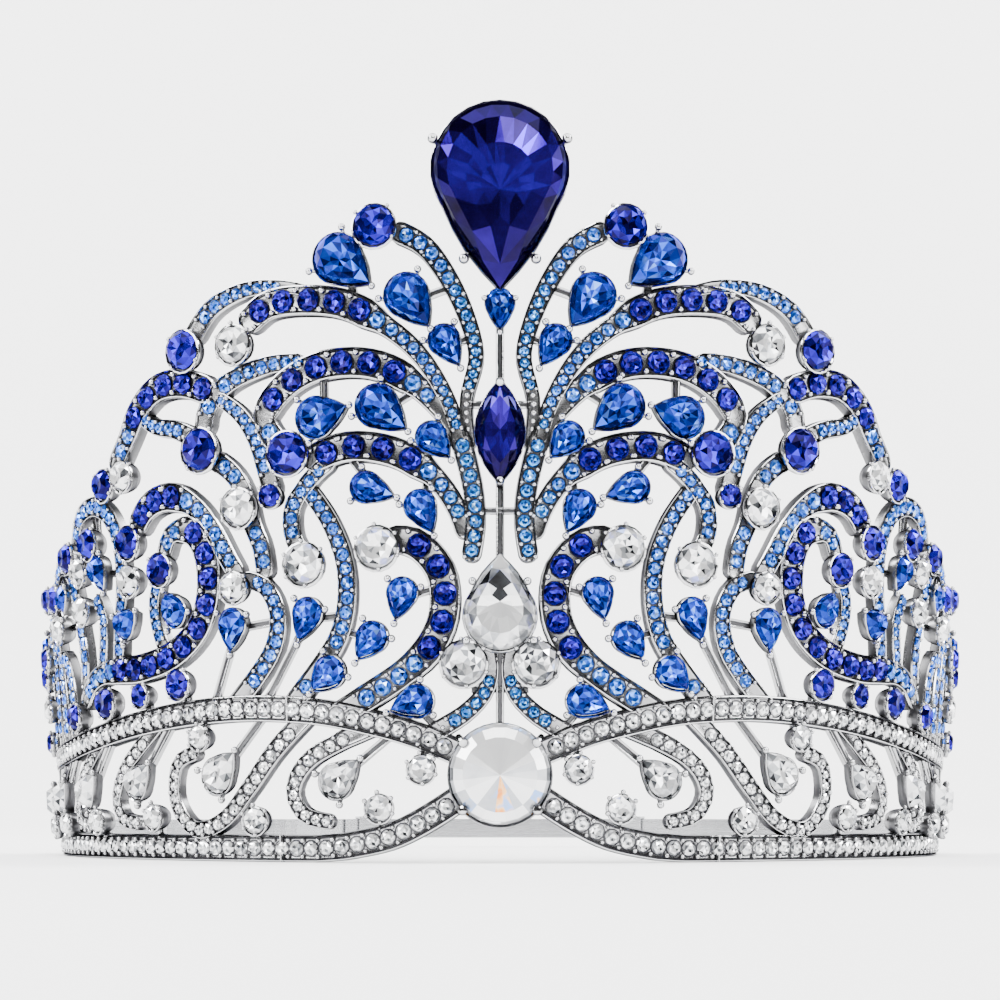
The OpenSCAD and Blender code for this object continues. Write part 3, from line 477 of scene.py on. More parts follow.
def smooth(mesh, degrees):
    mesh.shade_smooth()
    mesh.set_sharp_from_angle(angle=math.radians(degrees))


def joined(name, parts):
    """One mesh of several lists of corners and faces."""
    verts, faces = [], []
    for v, f in parts:
        faces += [[i + len(verts) for i in face] for face in f]
        verts += list(v)
    return mesh_object(name, verts, faces)


def ring_places(r, sides, start=0.0):
    turns = [start + math.tau * k / sides for k in range(sides)]
    return [(r * math.cos(a), r * math.sin(a)) for a in turns]


def turned_profile(profile, sides, start=0.0):
    """Corners and faces of a profile of (radius, height) turned round Z, closed where it meets the axis."""
    verts, faces, rings = [], [], []
    for r, z in profile:
        places = ring_places(r, sides, start) if r > 0 else [(0, 0)]
        rings.append(list(range(len(verts), len(verts) + len(places))))
        verts += [(x, y, z) for x, y in places]
    for a, b in zip(rings, rings[1:]):
        for k in range(sides):
            m = (k + 1) % sides
            if len(a) == 1:
                faces.append((a[0], b[m], b[k]))
            elif len(b) == 1:
                faces.append((a[k], a[m], b[0]))
            else:
                faces.append((a[k], a[m], b[m], b[k]))
    return verts, faces


def shell(outline, w, l, n, profile, stretch=2):
    """Corners and faces of a profile of (growth, height) carried round an outline of n corners. stretch is
    how much longer the outline gets for each millimetre of growth."""
    verts = [(x, y, z) for grow, z in profile for x, y in outline(w + 2 * grow, l + stretch * grow, n)]
    faces = [list(range(n - 1, -1, -1))]
    for j in range(len(profile) - 1):
        for k in range(n):
            m = (k + 1) % n
            faces.append((j * n + k, j * n + m, (j + 1) * n + m, (j + 1) * n + k))
    faces.append([(len(profile) - 1) * n + k for k in range(n)])
    return verts, faces


def drop_outline(w, l, n):
    """A drop with its point towards +X: a round end and two sides that swell a little."""
    r, far = w / 2, l - w / 2
    reach = math.acos(r / far)
    side = [(far * (1 - t) + r * math.cos(reach) * t,
             r * math.sin(reach) * t + 0.1 * r * math.sin(math.pi * t)) for t in (0.0, 0.25, 0.5, 0.75)]
    turn = [reach + (math.tau - 2 * reach) * k / (n - 8) for k in range(n - 7)]
    ring = side + [(r * math.cos(a), r * math.sin(a)) for a in turn]
    ring += [(x, -y) for x, y in reversed(side[1:])]
    shift = (l - w) / 2
    return [(x - shift, y) for x, y in ring]


def round_outline(n):
    """A round of width 2, turned by half a side."""
    turns = [math.tau * (k + 0.5) / n for k in range(n)]
    return [(math.cos(a), math.sin(a)) for a in turns]


def oval_outline(w, l, n):
    """Two arcs that meet in a point at both ends of X."""
    turns = [math.tau * k / n for k in range(n)]
    return [(l / 2 * math.cos(a), w / 2 * math.sin(a) * abs(math.sin(a))) for a in turns]


def cut_gem(outline, rows, depth, core):
    """A cut stone on an outline of 2n corners. rows are (share of the outline, height); each row has n
    corners, by turns on the odd and the even ones, so triangles lie between the rows. depth is how far the
    knife edge stands above the back, and core is the height of the point in the middle of the table."""
    count = len(outline)
    n = count // 2
    verts = [(x * 0.9, y * 0.9, 0) for x, y in outline]
    verts += [(x, y, depth) for x, y in outline]
    faces = [list(range(count - 1, -1, -1))]
    faces += [(k, (k + 1) % count, count + (k + 1) % count, count + k) for k in range(count)]
    edge = list(range(count, 2 * count))
    below = None
    for j, (share, height) in enumerate(rows):
        odd = j % 2 == 0
        row = list(range(len(verts), len(verts) + n))
        for k in range(n):
            x, y = outline[(2 * k + odd) % count]
            verts.append((x * share, y * share, height))
            if below is None:
                after = edge[(2 * k + 2) % count]
                faces.append((edge[2 * k], edge[2 * k + 1], row[k]))
                faces.append((edge[2 * k + 1], after, row[k]))
                faces.append((row[k], after, row[(k + 1) % n]))
            elif odd:
                faces.append((below[k], below[(k + 1) % n], row[k]))
                faces.append((row[k], below[(k + 1) % n], row[(k + 1) % n]))
            else:
                faces.append((below[k - 1], below[k], row[k]))
                faces.append((row[k], below[k], row[(k + 1) % n]))
        below = row
    verts.append((0, 0, core))
    faces += [(below[k], below[(k + 1) % n], len(verts) - 1) for k in range(n)]
    return verts, faces


def level_at(levels, share):
    """The level at a share of the height, between the listed shares on both sides of it."""
    for (a, at_a), (b, at_b) in zip(levels, levels[1:]):
        if a <= share <= b:
            level = at_a + (at_b - at_a) * (share - a) / (b - a)
    return level


def spark_facets(mesh, seed, by_height=(), spread=0.16, under=0.0, dark_reflection=None):
    """A steady random number for each facet, which picks its painted reflection shade in the stones' finish.
    by_height has the share of the height and the number there for a large stone that lies on the wall. Its
    steep outer facets come out darker as painted shade, and under is how much more painted shade those that
    face the floor get. shadow has the half width, the middle and the half height of the black patch, a
    painted reflection of the dark room."""
    pick = random.Random(seed)
    sparks = [pick.random() for _ in mesh.polygons]
    if by_height:
        heights = [v.co.z for v in mesh.vertices]
        low, high = min(heights), max(heights)
        for face in mesh.polygons:
            share = (face.center.z - low) / (high - low)
            # Painted shade on the steep outer facets, more on those that face the floor
            steep = 0.4 if face.normal.y > -0.8 else under if face.normal.z < -0.3 else 0.0
            level = level_at(by_height, share) - steep + (sparks[face.index] - 0.5) * 2 * spread
            # A black patch painted as the reflection of the dark room
            if dark_reflection and abs(face.center.x) / (dark_reflection[0] * MM) + abs(share - dark_reflection[1]) / dark_reflection[2] < 1:
                level = 0.0
            sparks[face.index] = min(max(level, 0), 0.999)
    put_attribute(mesh, "spark", sparks, "FACE")


# Node trees
class Value:
    """A socket that can be used in sums."""

    def __init__(self, nodes, socket):
        self.nodes, self.socket = nodes, socket

    def _math(self, operation, a, b=None):
        sockets = {0: a} if b is None else {0: a, 1: b}
        return self.nodes.add("ShaderNodeMath", {"operation": operation}, sockets)[0]

    def __add__(self, other):
        return self._math("ADD", self, other)

    def __radd__(self, other):
        return self._math("ADD", other, self)

    def __sub__(self, other):
        return self._math("SUBTRACT", self, other)

    def __rsub__(self, other):
        return self._math("SUBTRACT", other, self)

    def __mul__(self, other):
        return self._math("MULTIPLY", self, other)

    def __rmul__(self, other):
        return self._math("MULTIPLY", other, self)

    def fraction(self):
        return self._math("FRACT", self)

    def clamped(self, low=0.0, high=1.0):
        return self._math("MAXIMUM", self._math("MINIMUM", self, high), low)


class Outputs:
    """The output sockets of a node, by name or number."""

    def __init__(self, nodes, node):
        self.nodes, self.node = nodes, node

    def __getitem__(self, key):
        return Value(self.nodes, self.node.outputs[key])


class Nodes:
    """Adds nodes to one tree: type, settings first, then the values or links of the sockets."""

    def __init__(self, tree):
        self.tree = tree

    def add(self, kind, settings=None, sockets=None):
        node = self.tree.nodes.new(kind)
        for name, value in (settings or {}).items():
            setattr(node, name, value)
        for key, value in (sockets or {}).items():
            if isinstance(value, Value):
                self.tree.links.new(value.socket, node.inputs[key])
            else:
                node.inputs[key].default_value = value
        return Outputs(self, node)

    def attribute(self, name):
        return self.add("ShaderNodeAttribute", {"attribute_name": name})["Fac"]

    def place(self):
        return self.add("ShaderNodeTexCoord")["Object"]

    def noise(self, scale, detail=2.0, rough=0.55, where=None):
        return self.add("ShaderNodeTexNoise", {"noise_dimensions": "3D"}, {
            "Vector": where or self.place(), "Scale": scale, "Detail": detail, "Roughness": rough})[0]

    def mix(self, factor, a, b):
        return self.add("ShaderNodeMix", {"data_type": "RGBA"}, {"Factor": factor, 6: a, 7: b})[2]

    def bump(self, height, strength, distance):
        return self.add("ShaderNodeBump", None,
                        {"Strength": strength, "Distance": distance, "Height": height})["Normal"]

    def ramp(self, factor, stops):
        """A colour ramp with its stops as (place, hex colour)."""
        out = self.add("ShaderNodeValToRGB", None, {"Fac": factor})
        elements = out.node.color_ramp.elements
        elements.remove(elements[-1])
        for i, (at, colour) in enumerate(stops):
            stop = elements[0] if i == 0 else elements.new(at)
            stop.position, stop.color = at, linear(colour)
        return out["Color"]


def linear(hex_colour):
    def channel(c):
        return c / 12.92 if c <= 0.04045 else ((c + 0.055) / 1.055) ** 2.4
    return tuple(channel(int(hex_colour[i:i + 2], 16) / 255) for i in (1, 3, 5)) + (1.0,)


def darker(colour, share):
    return tuple(c * share for c in colour[:3]) + (1,)


def painted(name, sockets_of):
    """A material with one shader, whose sockets the given function fills."""
    material = bpy.data.materials.new(name)
    material.use_nodes = True
    material.node_tree.nodes.clear()
    nodes = Nodes(material.node_tree)
    shader = nodes.add("ShaderNodeBsdfPrincipled", None, sockets_of(nodes))
    nodes.add("ShaderNodeOutputMaterial", None, {"Surface": shader["BSDF"]})
    return material


def plated_metal(bright, dark):
    """Bright plating over a casting, with painted shade in its recesses and on its sides, and fine casting
    marks.
    """
    def sockets(nodes):
        recess = nodes.attribute("recess")
        cloud, grain = nodes.noise(160.0, 3.0), nodes.noise(1500.0)
        # Painted shade: the marked recesses and sides are mixed towards the dark colour, unevenly by the
        # cloud noise
        deep = (recess * (0.78 + cloud * 0.4)).clamped()
        tint = nodes.mix((cloud * 0.5 + grain * 0.3).clamped(), bright, darker(bright, 0.86))
        return {"Base Color": nodes.mix(deep, tint, dark), "Metallic": 1.0,
                "Roughness": (0.03 + cloud * 0.08 + grain * 0.05 + recess * 0.25).clamped(0.03, 0.6),
                "Normal": nodes.bump(grain + cloud * 1.4, 0.16, 0.00012),
                "Specular Tint": (0.1, 0.1, 0.11, 1)}
    return painted("plated_casting", sockets)


def spring_steel(colour):
    """Drawn strip steel: fine lines along the strip and faint rubbed patches."""
    def sockets(nodes):
        stretched = nodes.add("ShaderNodeMapping", None, {
            "Vector": nodes.place(), "Scale": (60.0, 60.0, 9000.0)})
        lines = nodes.noise(1.0, 3.0, 0.6, stretched[0])
        rubbed = nodes.noise(90.0, 3.0)
        return {"Base Color": nodes.mix((lines * 0.6 + rubbed * 0.3).clamped(), colour, darker(colour, 0.74)),
                "Metallic": 1.0, "Roughness": (0.12 + lines * 0.16 + rubbed * 0.12).clamped(0.08, 0.6),
                "Normal": nodes.bump(lines, 0.12, 0.0001)}
    return painted("spring_steel", sockets)


def foiled_glass(name, metallic, edge, stops, rough=GLASS_ROUGH, middle=None):
    """Cut glass with foil behind it: each facet's colour is a painted reflection, its own shade from dark to
    a white highlight, in place of the light that the foil behind it throws back. edge tints what it throws
    back at a flat angle, and middle has the painted shades that the stones near the centre line lean to."""
    def sockets(nodes):
        spark, tone = nodes.attribute("spark"), nodes.attribute("tone")
        veil = nodes.noise(420.0)
        # Each facet's number, shifted by the stone's tone, picks its painted reflection shade
        shade = ((spark + tone * 5.3).fraction() * 0.88 + veil * 0.24 - 0.06).clamped()
        colour = nodes.ramp(shade, stops)
        if middle:
            aside = nodes.add("ShaderNodeSeparateXYZ", None, {0: nodes.place()})["X"]
            near = (0.6 - (aside * aside) * 7000.0).clamped(0.0, 0.36)
            colour = nodes.mix(near, colour, nodes.ramp(shade, middle))
        return {"Base Color": colour, "Metallic": metallic,
                "Roughness": (rough + veil * 0.05).clamped(0.02, 0.3),
                "IOR": 1.5, "Specular IOR Level": 0.2, "Specular Tint": edge,
                "Coat Weight": 0.1, "Coat Roughness": 0.03, "Coat IOR": 1.5}
    return painted(name, sockets)


def pale_floor(colour):
    def sockets(nodes):
        return {"Base Color": nodes.mix(nodes.noise(3.0), colour, darker(colour, 0.97)), "Roughness": 0.75}
    return painted("pale_floor", sockets)


def make_finishes(look):
    FINISH["metal"] = plated_metal(tuple(look.plating), tuple(look.recess))
    FINISH["steel"] = spring_steel(tuple(look.steel))
    FINISH["floor"] = pale_floor(tuple(look.floor))
    for glass, row in GLASSES.items():
        rough = BADGE_ROUGH if glass == "badge" else GLASS_ROUGH
        FINISH[glass] = foiled_glass(*row, rough, AQUA if glass == "light" else None)


class GrowingTree(Nodes):
    """A geometry node tree with named inputs. It ends in plain painted geometry."""

    def __init__(self, name, inputs):
        super().__init__(bpy.data.node_groups.new(name, "GeometryNodeTree"))
        interface = self.tree.interface
        interface.new_socket("Geometry", in_out="INPUT", socket_type="NodeSocketGeometry")
        for label, kind, value in inputs + [("Material", "NodeSocketMaterial", None)]:
            socket = interface.new_socket(label, in_out="INPUT", socket_type=kind)
            if value is not None:
                socket.default_value = value
        interface.new_socket("Geometry", in_out="OUTPUT", socket_type="NodeSocketGeometry")
        self.given = self.add("NodeGroupInput")

    def named(self, name, kind="FLOAT_VECTOR"):
        return self.add("GeometryNodeInputNamedAttribute", {"data_type": kind}, {"Name": name})["Attribute"]

    def shape_of(self, label):
        return self.add("GeometryNodeObjectInfo", {"transform_space": "ORIGINAL"},
                        {"Object": self.given[label]})["Geometry"]

    def scaled(self, vector, amount):
        return self.add("ShaderNodeVectorMath", {"operation": "SCALE"},
                        {0: vector, "Scale": amount})["Vector"]

    def total(self, a, b):
        return self.add("ShaderNodeVectorMath", {"operation": "ADD"}, {0: a, 1: b})["Vector"]

    def ended(self, geometry):
        real = self.add("GeometryNodeRealizeInstances", None, {"Geometry": geometry})["Geometry"]
        done = self.add("GeometryNodeSetMaterial", None,
                        {"Geometry": real, "Material": self.given["Material"]})
        self.add("NodeGroupOutput", None, {0: done["Geometry"]})
        return self.tree


def swept_tree():
    """Sweeps a flat section along lines whose corners carry their place and their sideways and outward
    directions. The section's corners carry their share of the half width and their rise."""
    tree = GrowingTree("swept_section", [
        ("Section", "NodeSocketObject", None), ("Thickness", "NodeSocketFloat", 1.0)])
    line = tree.add("GeometryNodeMeshToCurve", None, {"Mesh": tree.given["Geometry"]})["Curve"]
    section = tree.add("GeometryNodeMeshToCurve", None, {"Mesh": tree.shape_of("Section")})["Curve"]
    tube = tree.add("GeometryNodeCurveToMesh", None,
                    {"Curve": line, "Profile Curve": section, "Fill Caps": True})["Mesh"]
    sideways = tree.scaled(tree.named("sideways"), tree.named("across", "FLOAT"))
    outward = tree.scaled(tree.named("outward"), tree.named("rise", "FLOAT") * tree.given["Thickness"])
    place = tree.total(tree.named("middle"), tree.total(sideways, outward))
    moved = tree.add("GeometryNodeSetPosition", None, {"Geometry": tube, "Position": place})
    return tree.ended(moved["Geometry"])


def placed_tree():
    """Sets one piece at each point, with the point's own turn and size, and passes its tone on."""
    tree = GrowingTree("pieces_on_places", [
        ("Piece", "NodeSocketObject", None), ("Uneven", "NodeSocketFloat", 0.0),
        ("Seed", "NodeSocketInt", SEED)])
    points = tree.add("GeometryNodeMeshToPoints", None, {"Mesh": tree.given["Geometry"]})["Points"]
    turn = tree.add("FunctionNodeEulerToRotation", None, {0: tree.named("turn")})[0]
    odd = tree.add("FunctionNodeRandomValue", {"data_type": "FLOAT"},
                   {2: -1.0, 3: 1.0, "Seed": tree.given["Seed"]})[1]
    size = tree.scaled(tree.named("size"), 1.0 + odd * tree.given["Uneven"])
    return tree.ended(tree.add("GeometryNodeInstanceOnPoints", None, {
        "Points": points, "Instance": tree.shape_of("Piece"), "Rotation": turn, "Scale": size})["Instances"])


def grown(name, source, tree, settings):
    """The mesh that a tree makes of an object; the object and its modifier are removed."""
    modifier = source.modifiers.new("grow", "NODES")
    modifier.node_group = tree
    for item in tree.interface.items_tree:
        if item.in_out == "INPUT" and item.name in settings:
            modifier[item.identifier] = settings[item.name]
    depsgraph = bpy.context.evaluated_depsgraph_get()
    source.update_tag()
    bpy.context.view_layer.update()
    mesh = bpy.data.meshes.new_from_object(source.evaluated_get(depsgraph), preserve_all_data_layers=True,
                                           depsgraph=depsgraph)
    source.modifiers.clear()
    discard(source)
    if not mesh.polygons:
        raise RuntimeError(name + " came out with no faces")
    mesh.name = name
    return link(bpy.data.objects.new(name, mesh))


def merged(name, parts, material):
    """One object of several with the same finish."""
    mesh = bpy.data.meshes.new(name)
    bm = bmesh.new()
    for part in parts:
        bm.from_mesh(part.data)
    bm.to_mesh(mesh)
    bm.free()
    discard(*parts)
    mesh.materials.clear()
    mesh.materials.append(material)
    for polygon in mesh.polygons:
        polygon.material_index = 0
    return link(bpy.data.objects.new(name, mesh))


# Sections: each corner has its share of the half width, its rise and how much painted shade it carries, dark
# in the grooves and on the flanks and bright on the rail tops
CHANNEL_HALF = [
    (0.84, 0.0, 0.6), (1, 0.22, 0.7), (1.0, 1.6, 0.85), (0.985, 1.84, 0.3), (0.94, 2.06, 0), (0.87, 2.08, 0),
    (0.82, 1.92, 0.3), (0.795, 1.58, 1), (0.73, 1.58, 1), (0.68, 1.74, 0.3), (0.5, 1.66, 0.5)]
CHANNEL = CHANNEL_HALF + [(-a, b, c) for a, b, c in reversed(CHANNEL_HALF)]
TWO_RAILS = [
    (-0.8, 0.55, 0.3), (0.8, 0.55, 0.3), (1, 0.8, 0.1), (1, 1.45, 0), (0.78, 1.7, 0), (0.5, 1.6, 0.1),
    (0.26, 1.3, 0.9), (-0.26, 1.3, 0.9), (-0.5, 1.6, 0.1), (-0.78, 1.7, 0), (-1, 1.45, 0), (-1, 0.8, 0.1)]


def section_object(name, corners):
    n = len(corners)
    ring = [(k, (k + 1) % n) for k in range(n)]
    obj = mesh_object(name, [(a * MM, b * MM, 0) for a, b, _ in corners], [], ring)
    put_attribute(obj.data, "across", [float(a) for a, _, _ in corners])
    put_attribute(obj.data, "rise", [b * MM for _, b, _ in corners])
    put_attribute(obj.data, "recess", [float(c) for _, _, c in corners])
    return obj


class LineCollector:
    """Gathers lines on the wall as one mesh of edges for the sweep."""

    def __init__(self):
        self.middle, self.sideways, self.outward, self.edges = [], [], [], []

    def add(self, pairs, lift, side):
        """pairs has the section's left and right edge at each place, and lift its height over the wall."""
        first = len(self.middle)
        for (left, right), high in zip(pairs, lift):
            q, half = (left + right) / 2, (left - right) / 2
            along, up, out = wall_axes(q, side)
            self.middle.append(on_wall(q, high, side))
            self.sideways.append((along * half.x + up * half.y) * MM)
            self.outward.append(out)
        self.edges += [(k, k + 1) for k in range(first, len(self.middle) - 1)]

    def add_stem(self, a, b, half, side, rise=0.0, lift=0.0):
        """A straight wire from place a to place b, which starts at lift and ends higher by rise."""
        p, q = flat(a), flat(b)
        count = max(2, round((q - p).length / 2.5))
        across = left_of((q - p).normalized()) * half
        points = [p.lerp(q, k / count) for k in range(count + 1)]
        lifts = [lift + rise * k / count for k in range(count + 1)]
        self.add([(c + across, c - across) for c in points], lifts, side)

    def grown(self, name, section, material, thickness=1.0):
        source = mesh_object(name + "_lines", self.middle, [], self.edges)
        for attribute in ("middle", "sideways", "outward"):
            put_attribute(source.data, attribute, getattr(self, attribute))
        return grown(name, source, TREES["swept"],
                     {"Section": section, "Material": material, "Thickness": thickness})


class PlaceCollector:
    """Gathers places on the wall, each with its turn, size and tone."""

    def __init__(self, seed):
        self.verts, self.turn, self.size, self.tone = [], [], [], []
        self.pick = random.Random(seed)

    def add(self, q, out, phi, size, side):
        self.verts.append(on_wall(q, out, side))
        self.turn.append(tuple(turn_on_wall(q, phi, side)))
        self.size.append(tuple(s * MM for s in size))
        self.tone.append(self.pick.random())

    def grown(self, name, piece, material, uneven=0.0):
        source = mesh_object(name + "_places", self.verts, [])
        for attribute in ("turn", "size", "tone"):
            put_attribute(source.data, attribute, getattr(self, attribute))
        return grown(name, source, TREES["placed"], {"Piece": piece, "Material": material, "Uneven": uneven})


# Small pieces that are repeated, scaled to their places: rounds are made 2 wide and drops 1 wide
def gem_piece(name, outline, rows, depth, core, seed):
    obj = mesh_object(name, *cut_gem(outline, rows, depth, core))
    # Each facet gets a number that picks its painted reflection shade
    spark_facets(obj.data, seed)
    return obj


def pave_stone(n, seed):
    return gem_piece("pave_stone", round_outline(2 * n), [(0.84, 0.34), (0.5, 0.5)], 0.06, 0.42, seed)


def round_gem(n, seed):
    rows = [(0.86, 0.3), (0.62, 0.56), (0.34, 0.5)]
    return gem_piece("round_gem", round_outline(2 * n), rows, 0.08, 0.44, seed)


def drop_gem(w, l, seed):
    rows = [(0.84, 0.34), (0.6, 0.6), (0.3, 0.52)]
    return gem_piece("drop_gem", drop_outline(w, l, 20), rows, 0.08, 0.46, seed)


def turned_piece(name, profile, sides, painted_shade_at, crease=None):
    """A turned piece. painted_shade_at gives how much painted shade it has at a height."""
    verts, faces = turned_profile(profile, sides)
    obj = mesh_object(name, verts, faces)
    put_attribute(obj.data, "recess", [float(painted_shade_at(z)) for _, _, z in verts])
    if crease:
        smooth(obj.data, crease)
    return obj


def bead_piece(sides):
    profile = [(0, -0.3), (0.95, -0.3), (1, 0.15), (0.78, 0.66), (0.4, 0.93), (0, 1)]
    # Painted shade towards the bead's foot, which gives it a dark outline
    return turned_piece("bead_piece", profile, sides, lambda z: min(max(0.95 - z, 0), 0.9), 50)


def seat_piece(sides):
    """A dark disc of painted shade round the edge of a small stone, of radius 1; heights in millimetres."""
    return turned_piece("seat_piece", [(0, -0.3), (1, -0.3), (1, 0.04), (0, 0.04)], sides, lambda z: 1)


def cup_piece(sides):
    """A cup whose radius is 1 at the stone's edge; heights in millimetres over the wall."""
    profile = [(0, 0.35), (0.62, 0.35), (0.84, 0.9), (0.97, 1.6), (1.07, 2.5), (1.11, 3.0), (1.09, 3.2),
               (1.02, 3.26), (0.97, 3.14), (0.95, 2.8), (0, 2.8)]
    # Painted shade on the cup: darkest on its sides, less on its foot, none on its lip
    return turned_piece("cup_piece", profile, sides,
                        lambda z: 0.45 if z < 1.2 else 0.85 if z < 2.9 else 0, 40)


def drop_rim(w, l, base, top):
    """The rim that holds a drop, with its floor."""
    return shell(drop_outline, w, l, 26, (
        (-0.75, base), (0.05, base + 0.25), (0.28, base + 0.8), (0.34, top), (0.2, top + 0.16), (0.02, top),
        (-0.2, top - 0.45)))


def set_along(foot, tip, profile, sides):
    """A turned profile with its axis from foot to tip."""
    turn = (tip - foot).normalized().to_track_quat("Z", "X").to_matrix()
    verts, faces = turned_profile(profile, sides)
    return [foot + turn @ Vector(v) for v in verts], faces


def prong_parts(places, reach, base, top, ball, wire):
    """Claw wires with ball tips. places are on the stone's edge; each claw stands outside and leans in."""
    parts = []
    for x, y in places:
        out = Vector((x, y, 0)).normalized()
        foot = Vector((x, y, base)) + out * reach
        tip = Vector((x, y, top)) - out * ball * 0.25
        long = (tip - foot).length
        parts.append(set_along(foot, tip, [
            (0, 0), (wire, 0), (wire, long * 0.9), (ball * 0.6, long * 0.94), (ball, long + ball * 0.3),
            (ball * 0.75, long + ball * 0.8), (0, long + ball)], 10))
    return parts


def arm_claws(places, inner, base, top, ball, wire):
    """Ball tips that stand off a stone on short arms. inner is the share of the way where an arm starts."""
    parts = []
    verts, faces = turned_profile([(0, -1), (0.7, -0.7), (1, 0), (0.87, 0.5), (0.5, 0.87), (0, 1)], 10)
    for x, y in places:
        foot, tip = Vector((x * inner, y * inner, base)), Vector((x, y, top))
        long = (tip - foot).length
        parts.append(set_along(foot, tip, [(0, 0), (wire, 0), (wire, long), (0, long)], 8))
        parts.append(([tip + Vector(p) * ball for p in verts], faces))
    return parts


# The small stones' places
class StoneRows:
    """Lays royal stones in the strips, and then marches along each strip with the small ones, past whatever
    is there already. found has the flat places and sizes of all stones, beads, grains and the dark discs of
    painted shade round the stones."""
    # As shares of a stone's width: radius of the dark disc of painted shade round it, radius of a bead, and
    # how far on its grains lie
    royal_seat, small_seat, bead_share, grain_on = 0.56, 0.59, 0.36, 0.56
    # Where the grains lie beside royal and beside small stones, as a share of the strip's half width
    royal_side, small_side = 0.6, 0.58
    # Step to the next place, as a share of the width: after a bead, a band stone and any other stone. Then
    # the step in millimetres where nothing fits
    bead_step, band_step, stone_step, look_on = 0.95, 1.06, 1.1, 0.25
    # A bead that ends a strip at the band: its radius, and the room it takes
    end_bead, end_room = 0.36, 0.7

    def __init__(self, sizes):
        self.least, self.grain = sizes.pave_least / MM, sizes.grain / MM
        self.share, self.band_stone = sizes.pave_share, sizes.band_stone / MM
        self.found = {kind: [] for kind in ("royal", "light", "clear", "bead", "grain", "seat")}
        self.taken = [(flat(row[:2]), row[2] + 0.3) for row in CUPPED_ROUNDS]
        self.taken += [(flat(row[:2]), (row[2] + row[4]) / 2 + 0.1) for row in ALL_DROPS]
        for stone, circles in ((OVAL, ((-4, 0.6), (0, 1), (4, 0.6))),
                               (CLEAR_DROP, ((-2, 1), (1.6, 0.8), (4.6, 0.4)))):
            self.taken += [(Vector((0, stone[0] + up)), stone[1] * share) for up, share in circles]
        self.taken.append((Vector((0, BADGE[0])), BADGE[1] + 1.2))

    def is_taken(self, q, d, clear):
        return any((q - p).length < (d + r) / 2 + clear for p, r in self.taken)

    def lay(self, kind, q, size, takes):
        self.found[kind].append((q, size))
        self.taken.append((q, takes))

    def lay_grain(self, strip, s, way, half, share, size):
        q = strip.line.at(s) + left_of(strip.line.heading(s)) * way * half * share
        self.found["grain"].append((q, size))

    def lay_royals(self, strip):
        for s in strip.royals:
            q = strip.line.at(s)
            self.lay("royal", q, ROYAL_D, ROYAL_D)
            # A dark disc of painted shade round the royal stone
            self.found["seat"].append((q, ROYAL_D * self.royal_seat))
            for way in (-1, 1):
                for shift in (-0.5, 0.5):
                    self.lay_grain(strip, s + shift * ROYAL_PITCH, way, strip.half(s), self.royal_side,
                                   self.grain * 1.3)

    def lay_one(self, strip, s):
        """Lays what there is room for at s, and gives the step to the next place."""
        on_band = strip.kind == "B"
        half = strip.half(s)
        d = min(self.band_stone if on_band else 2 * half * self.share, WIDEST_SMALL)
        q = strip.line.at(s)
        over = over_band(q) * (-1 if strip.kind == "C" else 1)
        meets_band = not on_band and over < BAND_W / 2 + d * 0.42
        if meets_band and over > BAND_W / 2 + 0.5 and not self.is_taken(q, self.end_room, 0.1):
            self.lay("bead", q, self.end_bead, self.end_room)
        if meets_band or self.is_taken(q, d, -0.2 if on_band else 0.08):
            return self.look_on
        if d < self.least:
            self.lay("bead", q, d * self.bead_share, d * 0.8)
            return d * self.bead_step
        self.lay("clear" if strip.kind in "BC" else "light", q, d, d - 0.25)
        # A dark disc of painted shade round the stone
        self.found["seat"].append((q, d * self.small_seat))
        for way in (-1, 1):
            self.lay_grain(strip, s + d * self.grain_on, way, half, self.small_side, self.grain)
        return d * (self.band_step if on_band else self.stone_step)

    def lay_all(self, strips):
        ordered = [strip for kinds in ("B", "R", "LC") for strip in strips if strip.kind in kinds]
        for strip in ordered:
            self.lay_royals(strip)
        for strip in ordered:
            s = 0.9
            while s < strip.line.length - 0.8:
                s += self.lay_one(strip, s)
        return self.found


# The crown's pieces, each group by its own operator
def ride_root(obj, nodes=()):
    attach(obj, "root")
    if nodes:
        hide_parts(*nodes)
    return obj


def both(names):
    return [side + "_" + name for side in ("left", "right") for name in names]


class CrownFinish(bpy.types.PropertyGroup):
    """Colours of the metal, its painted shade, and the floor."""
    plating: bpy.props.FloatVectorProperty(
        name="Plating", description="Colour of the bright plating", subtype="COLOR", size=4,
        default=(0.62, 0.62, 0.63, 1), min=0, max=1)
    # The colour that the painted shade in the casting's recesses and on its sides is mixed towards
    recess: bpy.props.FloatVectorProperty(
        name="Painted shade", description="Colour left in the recesses of the casting", subtype="COLOR", size=4,
        default=(0.03, 0.03, 0.034, 1), min=0, max=1)
    steel: bpy.props.FloatVectorProperty(
        name="Steel", description="Colour of the sprung strips", subtype="COLOR", size=4,
        default=(0.5, 0.505, 0.52, 1), min=0, max=1)
    floor: bpy.props.FloatVectorProperty(
        name="Floor", description="Colour of the floor and backdrop", subtype="COLOR", size=4,
        default=(0.94, 0.94, 0.94, 1), min=0, max=1)


